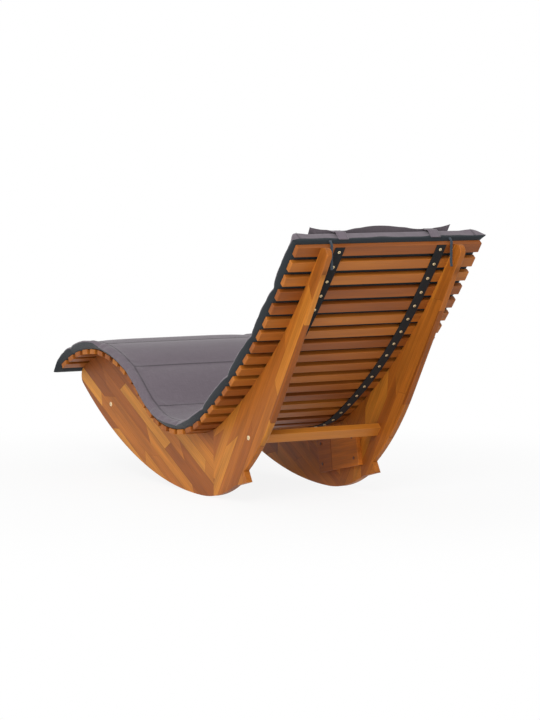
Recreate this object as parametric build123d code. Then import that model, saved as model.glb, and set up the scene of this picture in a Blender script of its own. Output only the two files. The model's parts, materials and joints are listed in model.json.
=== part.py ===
from build123d import *
import os
from math import atan2, cos, degrees, hypot, pi, radians, sin, sqrt, tan

# Rocking sun lounger for one person, in millimetres. X is the width, +Y points to the head end and
# +Z up. The outlines are drawn in the YZ plane with the floor at Z=0, and the finished pieces are
# moved so that the origin is the middle of the whole box, on the floor.

# Slats
slat_count = 34
slat_length = 600.0
slat_width = 33.0
slat_thickness = 15.0
slat_pitch = 52.9
slat_rounding = 1.5

# Curve of the bed, along the underside of the slats
seat_low_y = 20.2
seat_low_z = 181.8
seat_radius = 334.7
seat_turn_to_back = 30.6
seat_turn_to_thigh = 41.1
back_radius = 1684.0
back_length = 577.0
upper_back_radius = 3712.0
upper_back_length = 205.0
crest_radius = 466.0
foot_radius = 30.0
front_reach = 246.0

# Side frames
frame_outer_width = 452.0
frame_thickness = 18.0
seam_y = 137.0
rocker_contact_y = 54.0
rocker_radius = 1281.4
rocker_front_turn = 16.07
rocker_front_radius = 1389.6
rocker_rear_turn = 0.4
rocker_rear_radius = 443.0
tip_radius = 28.0
leg_top_width = 45.5
leg_top_radius = 20.0
leg_rounding = 3.0
leg_rear_slope = 57.6
leg_straight = 529.0
foot_start_y = 269.0
foot_length = 72.0
foot_slope = 14.0
foot_height = 35.0
foot_end_lean = 31.0

# Cross rails
rail_thickness = 20.0
rail_width = 35.0
rail_rounding = 2.0
rear_rail_y = 349.0
rear_rail_z = 200.0
rear_rail_tilt = 50.0
front_rail_y = -538.0
front_rail_z = 217.0
front_rail_tilt = -30.0

# Gusset plates over the seam, on the inner faces
gusset_length = 232.0
gusset_width = 110.0
gusset_thickness = 15.0
gusset_tilt = 12.0
gusset_past_seam = 7.0
gusset_mid_z = 116.0
gusset_rounding = 2.0
gusset_screw_inset = 24.0

# Webbing under the slats
webbing_spacing = 330.0
webbing_width = 30.0
webbing_thickness = 2.0

# Fasteners
webbing_screw_radius = 1.75
webbing_screw_length = 10.0
webbing_screw_head_radius = 4.5
webbing_screw_head_height = 2.2
slat_screw_radius = 2.0
slat_screw_length = 34.0
slat_screw_head_radius = 4.0
slat_screw_head_height = 2.5
gusset_screw_radius = 2.0
gusset_screw_length = 24.0
gusset_screw_head_radius = 4.5
gusset_screw_head_height = 2.2
bolt_radius = 3.0
bolt_length = 56.0
bolt_head_radius = 7.0
bolt_head_height = 2.6
head_rounding = 1.2
nut_radius = 5.0
nut_length = 15.0
nut_from_end = 28.0
dowel_radius = 4.0
dowel_length = 60.0
dowel_low_z = 62.0
dowel_high_z = 132.0

# Cushion pad
pad_edge_half_width = 306.0
pad_panel_bulge = 6.0
pad_corner_flare = 3.0
pad_panel_length = 190.0
pad_first_stitch = 170.0
pad_full_thickness = 34.0
pad_stitch_thickness = 24.0
pad_seam_height = 22.0
pad_stitch_seam_height = 10.0
pad_seam_limit = 0.7
pad_head_thickness = 30.0
pad_foot_thickness = 9.0
pad_underside_inset = 12.0
pad_border_width = 28.0
pad_border_drop = 5.0
pad_stitch_drop = 1.0
pad_border_round = 3.5
pad_head_overhang = 11.0
pad_head_taper = 24.0
pad_foot_overhang = 52.0
pad_foot_slope = 47.0
pad_foot_taper = 110.0

# Head pillow and its straps
pillow_width = 460.0
pillow_height = 240.0
pillow_thickness = 66.0
pillow_end_thickness = 32.0
pillow_seam_height = 22.0
pillow_seam_thickness = 3.0
pillow_from_top = -8.0
pillow_underside_inset = 30.0
pillow_corner_inset = 2.0
pillow_drawn_in = 10.0
strap_spacing = 300.0
strap_width = 32.0
strap_thickness = 2.5
strap_end_gap = 2.4
tie_from_frame = 20.0
tie_width = 10.0
tie_thickness = 1.5
tie_length = 62.0

# Clearances
seat_gap = 0.1
hole_gap = 0.05
hole_end_gap = 1.0
soft_gap = 0.4


def point_on(centre, radius, angle):
    """Point of a circle in the YZ plane, with the angle in degrees from +Y."""
    return (centre[0] + radius * cos(radians(angle)), centre[1] + radius * sin(radians(angle)))


def arc_edge(centre, radius, start, sweep):
    """Arc of a circle in the YZ plane, drawn through its middle point."""
    ends = [point_on(centre, radius, start + sweep * share) for share in (0.0, 0.5, 1.0)]
    return ThreePointArc(*ends)


def angle_of(centre, point):
    """Direction from a centre to a point, in degrees from +Y."""
    return degrees(atan2(point[1] - centre[1], point[0] - centre[0]))


# Centres of the bed's arcs, each tangent to the next
seat_centre = (seat_low_y, seat_low_z + seat_radius)
back_start = -90.0 + seat_turn_to_back
back_centre = point_on(seat_centre, seat_radius - back_radius, back_start)
back_end = back_start + degrees(back_length / back_radius)
upper_back_centre = point_on(back_centre, back_radius - upper_back_radius, back_end)
upper_back_end = back_end + degrees(upper_back_length / upper_back_radius)
thigh_end = -90.0 - seat_turn_to_thigh
crest_centre = point_on(seat_centre, seat_radius + crest_radius, thigh_end)
front_end_y = crest_centre[0] - front_reach
foot_centre_y = front_end_y + foot_radius
foot_rise = sqrt((crest_radius - foot_radius) ** 2 - (foot_centre_y - crest_centre[0]) ** 2)
foot_centre = (foot_centre_y, crest_centre[1] + foot_rise)
crest_end = angle_of(crest_centre, foot_centre)

# Bed arcs from head to foot: centre, radius, start angle, sweep; a negative sweep is hollow upwards
crest_start = thigh_end + 180.0
bed_arcs = [
    (upper_back_centre, upper_back_radius, upper_back_end, back_end - upper_back_end),
    (back_centre, back_radius, back_end, back_start - back_end),
    (seat_centre, seat_radius, back_start, thigh_end - back_start),
    (crest_centre, crest_radius, crest_start, crest_end - crest_start),
    (foot_centre, foot_radius, crest_end, 180.0 - crest_end),
]


def bed(distance):
    """Point and upward normal angle of the slats' underside, at a distance from the head end."""
    left = distance
    for centre, radius, start, sweep in bed_arcs:
        length = radius * radians(abs(sweep))
        if left <= length or radius == foot_radius:
            break
        left -= length
    angle = start + degrees(left / radius) * (1 if sweep > 0 else -1)
    normal = angle if sweep > 0 else angle + 180.0
    return point_on(centre, radius, angle), normal


def slat_plane(index):
    """Plane of a slat's underside: local X is the width, local Y points to the head end."""
    middle = slat_width / 2 + index * slat_pitch
    (y, z), normal = bed(middle)
    (head_y, head_z), _ = bed(middle - slat_width / 2)
    (tail_y, tail_z), _ = bed(middle + slat_width / 2)
    up_y, up_z = cos(radians(normal)), sin(radians(normal))
    # In a hollow stretch the slat bridges the curve and rests on its two edges
    bridge = ((head_y + tail_y) / 2 - y) * up_y + ((head_z + tail_z) / 2 - z) * up_z
    lift = max(bridge, 0.0) + seat_gap
    return Plane(origin=(0, y + lift * up_y, z + lift * up_z), x_dir=(1, 0, 0), z_dir=(0, up_y, up_z))


slat_planes = [slat_plane(index) for index in range(slat_count)]

# Lower edge of the side frames: rocker arcs, rounded tip and stop foot
rocker_centre = (rocker_contact_y, rocker_radius)
front_start = -90.0 - rocker_front_turn
front_centre = point_on(rocker_centre, rocker_radius - rocker_front_radius, front_start)
rear_start = -90.0 + rocker_rear_turn
rear_centre = point_on(rocker_centre, rocker_radius - rocker_rear_radius, rear_start)
tip_centre_y = front_end_y + tip_radius
tip_drop = sqrt((rocker_front_radius - tip_radius) ** 2 - (tip_centre_y - front_centre[0]) ** 2)
tip_centre = (tip_centre_y, front_centre[1] - tip_drop)
tip_end = angle_of(front_centre, tip_centre)
foot_drop = sqrt(rocker_rear_radius ** 2 - (foot_start_y - rear_centre[0]) ** 2)
foot_start = (foot_start_y, rear_centre[1] - foot_drop)
foot_tip = point_on(foot_start, foot_length, foot_slope)
foot_top = point_on(foot_tip, foot_height, 90.0 + foot_end_lean)
seam_top = (seam_y, seat_centre[1] - sqrt(seat_radius ** 2 - (seam_y - seat_low_y) ** 2))
seam_angle = angle_of(seat_centre, seam_top)
seam_drop = sqrt(rocker_rear_radius ** 2 - (seam_y - rear_centre[0]) ** 2)
seam_low = (seam_y, rear_centre[1] - seam_drop)
seam_low_angle = angle_of(rear_centre, seam_low)

frame_inner_face = frame_outer_width / 2 - frame_thickness
frame_mid = frame_outer_width / 2 - frame_thickness / 2


def upright(outline, low_x, thickness):
    """Board of a given thickness whose outline lies in the YZ plane, starting at low_x."""
    face = make_face(Plane.YZ.offset(low_x) * outline)
    return extrude(face, amount=thickness, dir=(1, 0, 0))


def front_outline():
    """Outline of the front board: bed curve, rounded front end, rocker and seam."""
    low_turn = angle_of(front_centre, point_on(rocker_centre, rocker_radius, front_start))
    edges = [
        arc_edge(seat_centre, seat_radius, seam_angle, thigh_end - seam_angle),
        arc_edge(crest_centre, crest_radius, crest_start, crest_end - crest_start),
        arc_edge(foot_centre, foot_radius, crest_end, 180.0 - crest_end),
        Line((front_end_y, foot_centre[1]), (front_end_y, tip_centre[1])),
        arc_edge(tip_centre, tip_radius, 180.0, tip_end % 360.0 - 180.0),
        arc_edge(front_centre, rocker_front_radius, tip_end, low_turn - tip_end),
        arc_edge(rocker_centre, rocker_radius, front_start, rear_start - front_start),
        arc_edge(rear_centre, rocker_rear_radius, rear_start, seam_low_angle - rear_start),
        Line(seam_low, seam_top),
    ]
    return Curve() + edges


def rear_outline():
    """Outline of the rear board: seam, rocker, stop foot, leg and bed curve."""
    top_front, _ = bed(0.0)
    corner = (top_front[0] + leg_top_width, top_front[1])
    reach = leg_top_radius / tan(radians(leg_rear_slope / 2))
    round_centre = (corner[0] - reach, corner[1] - leg_top_radius)
    leg_heading = 180.0 + leg_rear_slope
    straight_start = point_on(corner, reach, leg_heading)
    straight_end = point_on(corner, leg_straight, leg_heading)
    heading = (cos(radians(leg_heading)), sin(radians(leg_heading)))
    foot_start_angle = angle_of(rear_centre, foot_start)
    edges = [
        Line(seam_top, seam_low),
        arc_edge(rear_centre, rocker_rear_radius, seam_low_angle, foot_start_angle - seam_low_angle),
        Line(foot_start, foot_tip),
        Line(foot_tip, foot_top),
        TangentArc(straight_end, foot_top, tangent=heading),
        Line(straight_end, straight_start),
        arc_edge(round_centre, leg_top_radius, leg_rear_slope - 90.0, 180.0 - leg_rear_slope),
        Line((round_centre[0], corner[1]), top_front),
        arc_edge(upper_back_centre, upper_back_radius, upper_back_end, back_end - upper_back_end),
        arc_edge(back_centre, back_radius, back_end, back_start - back_end),
        arc_edge(seat_centre, seat_radius, back_start, seam_angle - back_start),
    ]
    return Curve() + edges


def eased(board):
    """Rear board with its leg's straight edges rounded over, and the curves that run on from them."""
    straight = board.edges().filter_by(GeomType.LINE)
    return fillet([edge for edge in straight if edge.length > leg_straight / 2], leg_rounding)


def screw(shank_radius, length, head_radius, head_height):
    """Round-head screw along Z: the head sits above Z=0 and the shank goes down."""
    head = Cylinder(head_radius, head_height, align=(Align.CENTER, Align.CENTER, Align.MIN))
    head = fillet(head.edges().group_by(Axis.Z)[-1], min(head_rounding, head_height / 2))
    return head + Cylinder(shank_radius, length, align=(Align.CENTER, Align.CENTER, Align.MAX))


def sunk_screw(shank_radius, length, head_radius, head_height):
    """Countersunk screw along Z: the flat top of the head lies at Z=0."""
    head = Cone(shank_radius, head_radius, head_height, align=(Align.CENTER, Align.CENTER, Align.MAX))
    return head + Cylinder(shank_radius, length, align=(Align.CENTER, Align.CENTER, Align.MAX))


def hole(radius, depth):
    """Cutter for a round hole from Z=0 down."""
    return Cylinder(radius + hole_gap, depth, align=(Align.CENTER, Align.CENTER, Align.MAX))


# One slat, lying on its underside, with holes for the webbing screws and the frame screws
webbing_x = webbing_spacing / 2
slat = Box(slat_length, slat_width, slat_thickness, align=(Align.CENTER, Align.CENTER, Align.MIN))
slat = fillet(slat.edges(), slat_rounding)
webbing_hole = hole(webbing_screw_radius, webbing_screw_length + hole_end_gap)
frame_screw_hole = hole(slat_screw_radius, slat_thickness * 2)
sink = Cone(
    slat_screw_radius + hole_gap,
    slat_screw_head_radius + hole_gap,
    slat_screw_head_height,
    align=(Align.CENTER, Align.CENTER, Align.MAX),
)
for side in (-1, 1):
    slat -= Pos(side * webbing_x, 0, webbing_screw_length + hole_end_gap) * webbing_hole
    slat -= Pos(side * frame_mid, 0, slat_thickness) * (frame_screw_hole + sink)

# Side frames, drilled for the slat screws, bolts, dowels and gusset screws
slat_screw_spots = [plane * Pos(0, 0, slat_thickness) for plane in slat_planes]
bolt_spots = [(front_rail_y, front_rail_z), (rear_rail_y, rear_rail_z)]
gusset_mid = (seam_y + gusset_past_seam, gusset_mid_z)
gusset_plane = Plane(
    origin=(0, *gusset_mid),
    x_dir=(0, cos(radians(gusset_tilt)), sin(radians(gusset_tilt))),
    z_dir=(1, 0, 0),
)
gusset_spots = [
    (u * (gusset_length / 2 - gusset_screw_inset), v * (gusset_width / 2 - gusset_screw_inset))
    for u in (-1, 1)
    for v in (-1, 1)
]
bolt_reach = bolt_length + hole_end_gap


def frame_cutters(side):
    """All the holes in one side frame; side is 1 for the left frame and -1 for the right one."""
    outward = Plane(origin=(side * frame_outer_width / 2, 0, 0), x_dir=(0, 1, 0), z_dir=(side, 0, 0))
    slat_hole = Pos(side * frame_mid, 0, 0) * hole(slat_screw_radius, slat_screw_length + hole_end_gap)
    gusset_hole = hole(gusset_screw_radius, gusset_screw_length + hole_end_gap)
    cutters = [spot * slat_hole for spot in slat_screw_spots]
    for y, z in bolt_spots:
        cutters.append(Pos(0, y, z) * outward.location * hole(bolt_radius, bolt_reach))
    for z in (dowel_low_z, dowel_high_z):
        bore = Cylinder(dowel_radius + hole_gap, dowel_length + 2 * hole_end_gap, rotation=(90, 0, 0))
        cutters.append(Pos(side * frame_mid, seam_y, z) * bore)
    for spot in gusset_spots:
        cutters.append(gusset_screw_place(side, spot) * gusset_hole)
    return cutters


def gusset_screw_place(side, spot):
    """Place of a gusset screw: its head lies on the gusset's inner face and points to the middle."""
    centre = gusset_plane.from_local_coords((spot[0], spot[1], 0))
    face_x = side * (frame_inner_face - gusset_thickness)
    return Plane(origin=(face_x, centre.Y, centre.Z), x_dir=(0, 1, 0), z_dir=(-side, 0, 0)).location


pieces = {}
for index, plane in enumerate(slat_planes, 1):
    pieces[f"slat_{index:02d}"] = plane.location * slat

gusset_block = Box(gusset_length, gusset_width, gusset_thickness)
gusset_block = fillet(gusset_block.edges(), gusset_rounding)
for name, side in (("left", 1), ("right", -1)):
    low_x = frame_inner_face if side > 0 else -frame_outer_width / 2
    cutters = frame_cutters(side)
    pieces[f"{name}_front_board"] = upright(front_outline(), low_x, frame_thickness) - cutters
    pieces[f"{name}_rear_board"] = eased(upright(rear_outline(), low_x, frame_thickness)) - cutters
    gusset_x = side * (frame_inner_face - gusset_thickness / 2)
    pieces[f"{name}_gusset"] = Pos(gusset_x, 0, 0) * gusset_plane.location * gusset_block - cutters


def rail(y, z, tilt):
    """Cross rail between the frames, with its bolt holes and barrel nut holes."""
    length = 2 * frame_inner_face
    bar = Box(length, rail_width, rail_thickness)
    bar = fillet(bar.edges().filter_by(Axis.X), rail_rounding)
    for side in (-1, 1):
        end = Plane(origin=(side * frame_outer_width / 2, 0, 0), x_dir=(0, 1, 0), z_dir=(side, 0, 0))
        bar -= end.location * hole(bolt_radius, bolt_reach)
        nut_x = side * (frame_inner_face - nut_from_end)
        bar -= Pos(nut_x, 0, rail_thickness / 2) * hole(nut_radius, rail_thickness / 2 + nut_length / 2)
    return Pos(0, y, z) * Rot(X=tilt) * bar


def barrel_nuts(y, z, tilt):
    """Pair of barrel nuts inside one rail, each with a hole for its bolt."""
    nut = Cylinder(nut_radius, nut_length)
    nut -= Cylinder(bolt_radius + hole_gap, 2 * nut_radius, rotation=(0, 90, 0))
    nut_x = frame_inner_face - nut_from_end
    return [Pos(0, y, z) * Rot(X=tilt) * Pos(side * nut_x, 0, 0) * nut for side in (-1, 1)]


pieces["rear_rail"] = rail(rear_rail_y, rear_rail_z, rear_rail_tilt)
pieces["front_rail"] = rail(front_rail_y, front_rail_z, front_rail_tilt)
pieces["barrel_nuts"] = barrel_nuts(rear_rail_y, rear_rail_z, rear_rail_tilt)
pieces["barrel_nuts"] += barrel_nuts(front_rail_y, front_rail_z, front_rail_tilt)

# Webbing: flat under every slat, bending in the gaps, with a hole for each screw
bearing_half = slat_width / 2 - slat_rounding
webbing_top = []
webbing_low = []
for plane in slat_planes:
    for end in (bearing_half, -bearing_half):
        top = plane.from_local_coords((0, end, -seat_gap))
        low = plane.from_local_coords((0, end, -seat_gap - webbing_thickness))
        webbing_top.append((top.Y, top.Z))
        webbing_low.append((low.Y, low.Z))
webbing_section = Polyline(*webbing_top, *reversed(webbing_low), close=True)
webbing_band = upright(webbing_section, -webbing_width / 2, webbing_width)
webbing_screw = Rot(X=180) * screw(
    webbing_screw_radius,
    webbing_screw_length + webbing_thickness + seat_gap,
    webbing_screw_head_radius,
    webbing_screw_head_height,
)
screw_depth = -seat_gap - webbing_thickness
for name, side in (("left", 1), ("right", -1)):
    spots = [plane * Pos(side * webbing_x, 0, screw_depth) for plane in slat_planes]
    band_holes = [spot * Rot(X=180) * hole(webbing_screw_radius, webbing_thickness * 2) for spot in spots]
    pieces[f"{name}_webbing"] = Pos(side * webbing_x, 0, 0) * webbing_band - band_holes
    pieces[f"{name}_webbing_screws"] = [spot * webbing_screw for spot in spots]
    slat_screw = Pos(side * frame_mid, 0, 0) * sunk_screw(
        slat_screw_radius, slat_screw_length, slat_screw_head_radius, slat_screw_head_height
    )
    pieces[f"{name}_slat_screws"] = [spot * slat_screw for spot in slat_screw_spots]

# Bolts, dowels and gusset screws
bolt = screw(bolt_radius, bolt_length, bolt_head_radius, bolt_head_height)
gusset_screw = screw(
    gusset_screw_radius, gusset_screw_length, gusset_screw_head_radius, gusset_screw_head_height
)
pieces["rail_bolts"] = []
pieces["seam_dowels"] = []
pieces["gusset_screws"] = []
for side in (-1, 1):
    outward = Plane(origin=(side * frame_outer_width / 2, 0, 0), x_dir=(0, 1, 0), z_dir=(side, 0, 0))
    for y, z in bolt_spots:
        pieces["rail_bolts"].append(Pos(0, y, z) * outward.location * bolt)
    for z in (dowel_low_z, dowel_high_z):
        dowel = Cylinder(dowel_radius, dowel_length, rotation=(90, 0, 0))
        pieces["seam_dowels"].append(Pos(side * frame_mid, seam_y, z) * dowel)
    for spot in gusset_spots:
        pieces["gusset_screws"].append(gusset_screw_place(side, spot) * gusset_screw)

# Cushion pad: sections across the bed at every slat edge and stitch line, thin at the stitches
slat_run = slat_width + (slat_count - 1) * slat_pitch
pad_tail = slat_run + pad_foot_overhang
stitches = []
stitch = pad_first_stitch
while stitch < (slat_count - 2) * slat_pitch:
    stitches.append(stitch)
    stitch += pad_panel_length


def pad_fullness(distance):
    """How full the pad is, from 0 at a stitch line or an end to 1 in the middle of a panel."""
    lines = [-pad_head_overhang] + stitches + [pad_tail]
    before = max(line for line in lines[:-1] if line <= distance)
    after = lines[lines.index(before) + 1]
    return sqrt(max(0.0, sin(pi * (distance - before) / (after - before))))


def pad_section(plane, distance):
    """Section of the pad: flat below, a sewn edge at the sides and a crown on top."""
    full = pad_fullness(distance)
    near_head = max(0.0, 1.0 - (distance + pad_head_overhang) / pad_head_taper)
    near_foot = max(0.0, 1.0 - (pad_tail - distance) / pad_foot_taper)
    half = pad_edge_half_width + pad_panel_bulge * full + pad_corner_flare * max(near_head, near_foot)
    thin = pad_stitch_thickness
    thin -= (pad_stitch_thickness - pad_head_thickness) * near_head ** 2
    thin -= (pad_stitch_thickness - pad_foot_thickness) * near_foot ** 2
    crown = thin + (pad_full_thickness - pad_stitch_thickness) * full
    shoulder = crown - pad_stitch_drop - (pad_border_drop - pad_stitch_drop) * full
    seam = pad_stitch_seam_height + (pad_seam_height - pad_stitch_seam_height) * full
    seam = min(seam, shoulder * pad_seam_limit)
    inner = half - pad_border_width
    edge_run = hypot(pad_border_width, shoulder - seam)
    edge_mid = (
        (half + inner) / 2 + pad_border_round * (shoulder - seam) / edge_run,
        (seam + shoulder) / 2 + pad_border_round * pad_border_width / edge_run,
    )
    foot = half - pad_underside_inset
    outline = [
        Line((-foot, 0), (foot, 0)),
        Line((foot, 0), (half, seam)),
        ThreePointArc((half, seam), edge_mid, (inner, shoulder)),
        ThreePointArc((inner, shoulder), (0, crown), (-inner, shoulder)),
        ThreePointArc((-inner, shoulder), (-edge_mid[0], edge_mid[1]), (-half, seam)),
        Line((-half, seam), (-foot, 0)),
    ]
    return plane * make_face(Curve() + outline), crown


pad_bottom = slat_thickness + soft_gap
pad_stations = [(0, slat_width / 2 + pad_head_overhang, -pad_head_overhang)]
for index in range(slat_count):
    start = index * slat_pitch
    inside = [line for line in stitches if start < line < start + slat_width]
    for distance in [start] + inside + [start + slat_width]:
        pad_stations.append((index, slat_width / 2 - (distance - start), distance))
pad_faces = []
crown_points = []
for index, local_y, distance in pad_stations:
    bed_plane = slat_planes[index]
    origin = bed_plane.from_local_coords((0, local_y, pad_bottom))
    section_plane = Plane(origin=origin, x_dir=(1, 0, 0), z_dir=-bed_plane.y_dir)
    face, crown = pad_section(section_plane, distance)
    pad_faces.append(face)
    crown_points.append((distance, section_plane.from_local_coords((0, crown, 0))))
flap_start = slat_planes[-1].from_local_coords((0, -slat_width / 2, pad_bottom))
flap_way = Vector(0, -cos(radians(pad_foot_slope)), -sin(radians(pad_foot_slope)))
for share in (0.5, 1.0):
    reach = pad_foot_overhang * share
    flap_plane = Plane(origin=flap_start + flap_way * reach, x_dir=(1, 0, 0), z_dir=flap_way)
    pad_faces.append(pad_section(flap_plane, slat_run + reach)[0])
pieces["cushion_pad"] = loft(pad_faces, ruled=True)

# Head pillow, lying on the pad; in its plane X runs down the back and Y away from the pad
pillow_mid = pillow_from_top + pillow_height / 2
pillow_slat = slat_planes[round((pillow_mid - slat_width / 2) / slat_pitch)]
pillow_end = pillow_from_top + pillow_height + slat_pitch
crowns_below = [point for distance, point in crown_points if distance < pillow_end]
pillow_lift = max(pillow_slat.to_local_coords(point).Z for point in crowns_below) + soft_gap
head_edge = pillow_slat.to_local_coords(slat_planes[0].from_local_coords((0, slat_width / 2, 0))).Y
pillow_plane = Plane(
    origin=pillow_slat.from_local_coords((0, head_edge - pillow_from_top, pillow_lift)),
    x_dir=-pillow_slat.y_dir,
    z_dir=(-1, 0, 0),
)


def pillow_seam_at(share):
    """How full the pillow is at a share of its half width, and how far its head seam is drawn in."""
    swell = sqrt(max(0.0, 1.0 - share ** 2))
    return swell, pillow_drawn_in * swell


def pillow_section(share):
    """Section of the pillow at a share of its half width: flat below, crowned above, sewn edges."""
    swell, head = pillow_seam_at(share)
    high = pillow_end_thickness + (pillow_thickness - pillow_end_thickness) * swell
    low = head + pillow_corner_inset + (pillow_underside_inset - pillow_corner_inset) * swell
    tail = pillow_height - head
    seam = pillow_seam_height
    top = seam + pillow_seam_thickness
    outline = [
        Line((low, 0), (pillow_height - low, 0)),
        Line((pillow_height - low, 0), (tail, seam)),
        Line((tail, seam), (tail, top)),
        ThreePointArc((tail, top), (pillow_height / 2, high), (head, top)),
        Line((head, top), (head, seam)),
        Line((head, seam), (low, 0)),
    ]
    return pillow_plane.offset(share * pillow_width / 2) * make_face(Curve() + outline)


pillow_shares = (-1.0, -0.97, -0.85, -0.6, -0.3, 0.0, 0.3, 0.6, 0.85, 0.97, 1.0)
pieces["head_pillow"] = loft([pillow_section(share) for share in pillow_shares], ruled=True)

# Straps from the pad's head edge to the pillow's head seam; a tab on the pad's end holds each strap,
# and the pillow turns about the tabs' upper edge
top_plane = slat_planes[0]
pad_end = slat_width / 2 + pad_head_overhang + soft_gap
tab = Box(
    strap_width,
    strap_thickness,
    pad_head_thickness - soft_gap,
    align=(Align.CENTER, Align.MIN, Align.MIN),
)
tabs = [top_plane.location * Pos(side * strap_spacing / 2, pad_end, pad_bottom) * tab for side in (-1, 1)]
pieces["strap_tabs"] = tabs
hinge_y = pad_end + strap_thickness + soft_gap + strap_thickness / 2
hinge = top_plane.from_local_coords((0, hinge_y, pad_bottom + pad_head_thickness))
_, seam_in = pillow_seam_at(strap_spacing / pillow_width)
pillow_seam = pillow_plane.from_local_coords((seam_in, pillow_seam_height + pillow_seam_thickness / 2, 0))
strap_run = pillow_seam - hinge
strap_length = strap_run.length - strap_end_gap
strap_plane = Plane(origin=hinge, x_dir=(1, 0, 0), z_dir=strap_run.normalized())
strap = strap_plane.location * Box(
    strap_width, strap_thickness, strap_length, align=(Align.CENTER, Align.CENTER, Align.MIN)
)
pieces["pillow_straps"] = [Pos(side * strap_spacing / 2, 0, 0) * strap for side in (-1, 1)]

# Tie tapes: from the pad's head edge past the top slat's edge, then straight down
tie_top = top_plane.from_local_coords((0, pad_end, pad_bottom))
tie_bend = top_plane.from_local_coords((0, slat_width / 2 + soft_gap, -soft_gap))
tie_front = [(tie_top.Y, tie_top.Z), (tie_bend.Y, tie_bend.Z), (tie_bend.Y, tie_bend.Z - tie_length)]
tie_back = [(y + tie_thickness, z) for y, z in tie_front]
tie = upright(Polyline(*tie_front, *reversed(tie_back), close=True), -tie_width / 2, tie_width)
tie_x = frame_inner_face - tie_from_frame
pieces["cushion_ties"] = [Pos(side * tie_x, 0, 0) * tie for side in (-1, 1)]

# Every piece is moved so that the origin is the middle of the whole box, on the floor
solids = {}
for name, piece in pieces.items():
    found = piece if isinstance(piece, list) else [piece]
    solids[name] = Compound([solid for part in found for solid in part.solids()])
box = Compound(list(solids.values())).bounding_box()
shift = Pos(-(box.min.X + box.max.X) / 2, -(box.min.Y + box.max.Y) / 2, -box.min.Z)
os.makedirs("parts", exist_ok=True)
for name, solid in solids.items():
    export_step(shift * solid, f"parts/{name}.step")

hinge_place = shift * Pos(hinge)
print("pillow hinge", hinge_place.position)
foot_middle = point_on(foot_start, foot_length / 2, foot_slope)
print("stop foot face", (shift * Pos(frame_mid, *foot_middle)).position)
print("floor contact", (shift * Pos(frame_mid, rocker_contact_y, 0)).position)
print("box", box.size)
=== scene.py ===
import json
import logging
from dataclasses import dataclass, field
from enum import Enum
from math import atan2, cos, degrees, pi, radians, sin, sqrt
from typing import Iterable, Sequence, Union

import bpy
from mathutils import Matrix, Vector


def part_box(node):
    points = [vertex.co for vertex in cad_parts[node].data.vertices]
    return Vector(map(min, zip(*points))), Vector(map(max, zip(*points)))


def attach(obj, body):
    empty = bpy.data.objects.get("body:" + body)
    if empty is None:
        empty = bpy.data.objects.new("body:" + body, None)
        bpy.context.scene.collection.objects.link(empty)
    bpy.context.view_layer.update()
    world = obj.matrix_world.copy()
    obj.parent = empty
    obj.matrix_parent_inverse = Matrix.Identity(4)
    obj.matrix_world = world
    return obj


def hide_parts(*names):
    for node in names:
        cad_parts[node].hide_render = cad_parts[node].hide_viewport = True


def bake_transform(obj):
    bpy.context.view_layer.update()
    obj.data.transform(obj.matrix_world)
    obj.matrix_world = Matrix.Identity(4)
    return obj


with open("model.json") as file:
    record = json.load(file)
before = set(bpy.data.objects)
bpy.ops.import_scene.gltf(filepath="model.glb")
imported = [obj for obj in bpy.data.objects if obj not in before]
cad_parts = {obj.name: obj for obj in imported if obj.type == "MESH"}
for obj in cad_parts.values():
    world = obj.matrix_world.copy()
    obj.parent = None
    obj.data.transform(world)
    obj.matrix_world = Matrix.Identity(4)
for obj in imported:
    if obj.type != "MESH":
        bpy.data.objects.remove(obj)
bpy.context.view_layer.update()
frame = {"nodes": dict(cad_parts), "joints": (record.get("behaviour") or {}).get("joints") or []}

LOG = logging.getLogger("lounger")
SAME_PLACE = 1e-6
Colour = tuple[float, float, float]
Place = tuple[float, float, float]
Pair = tuple[float, float]
Spot = tuple[int, int]
Profile = list[Pair]
Aimed = list[tuple[Vector, Vector]]
Value = Union["Wire", int, float]
Socket = bpy.types.NodeSocket
Finish = bpy.types.Material
Mesh = bpy.types.Mesh
Piece = bpy.types.Object


def tone(red: int, green: int, blue: int) -> Colour:
    """Linear colour of an 8-bit display colour.

    Args:
        red: Red from 0 to 255.
        green: Green from 0 to 255.
        blue: Blue from 0 to 255.

    Returns:
        The three linear parts.
    """
    shares = [part / 255.0 for part in (red, green, blue)]
    return tuple(part / 12.92 if part <= 0.04045 else ((part + 0.055) / 1.055) ** 2.4 for part in shares)


def rounded(share: float) -> float:
    """Height of a quarter circle at a share of its width, from 0 to 1."""
    share = min(max(share, 0.0), 1.0)
    return sqrt(1.0 - (1.0 - share) ** 2)


class Side(Enum):
    """The two sides of the lounger, as signs of X."""

    LEFT = 1
    RIGHT = -1

    @property
    def word(self) -> str:
        """Name of the side in the nodes' names."""
        return self.name.lower()


class Lay(Enum):
    """What a pattern runs along, as an output of Texture Coordinate."""

    SURFACE = "UV"
    FRAME = "Object"


class Draw(Enum):
    """Which of a strip's chances is drawn."""

    START = 0.0
    SLANT = 7.0


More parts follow.
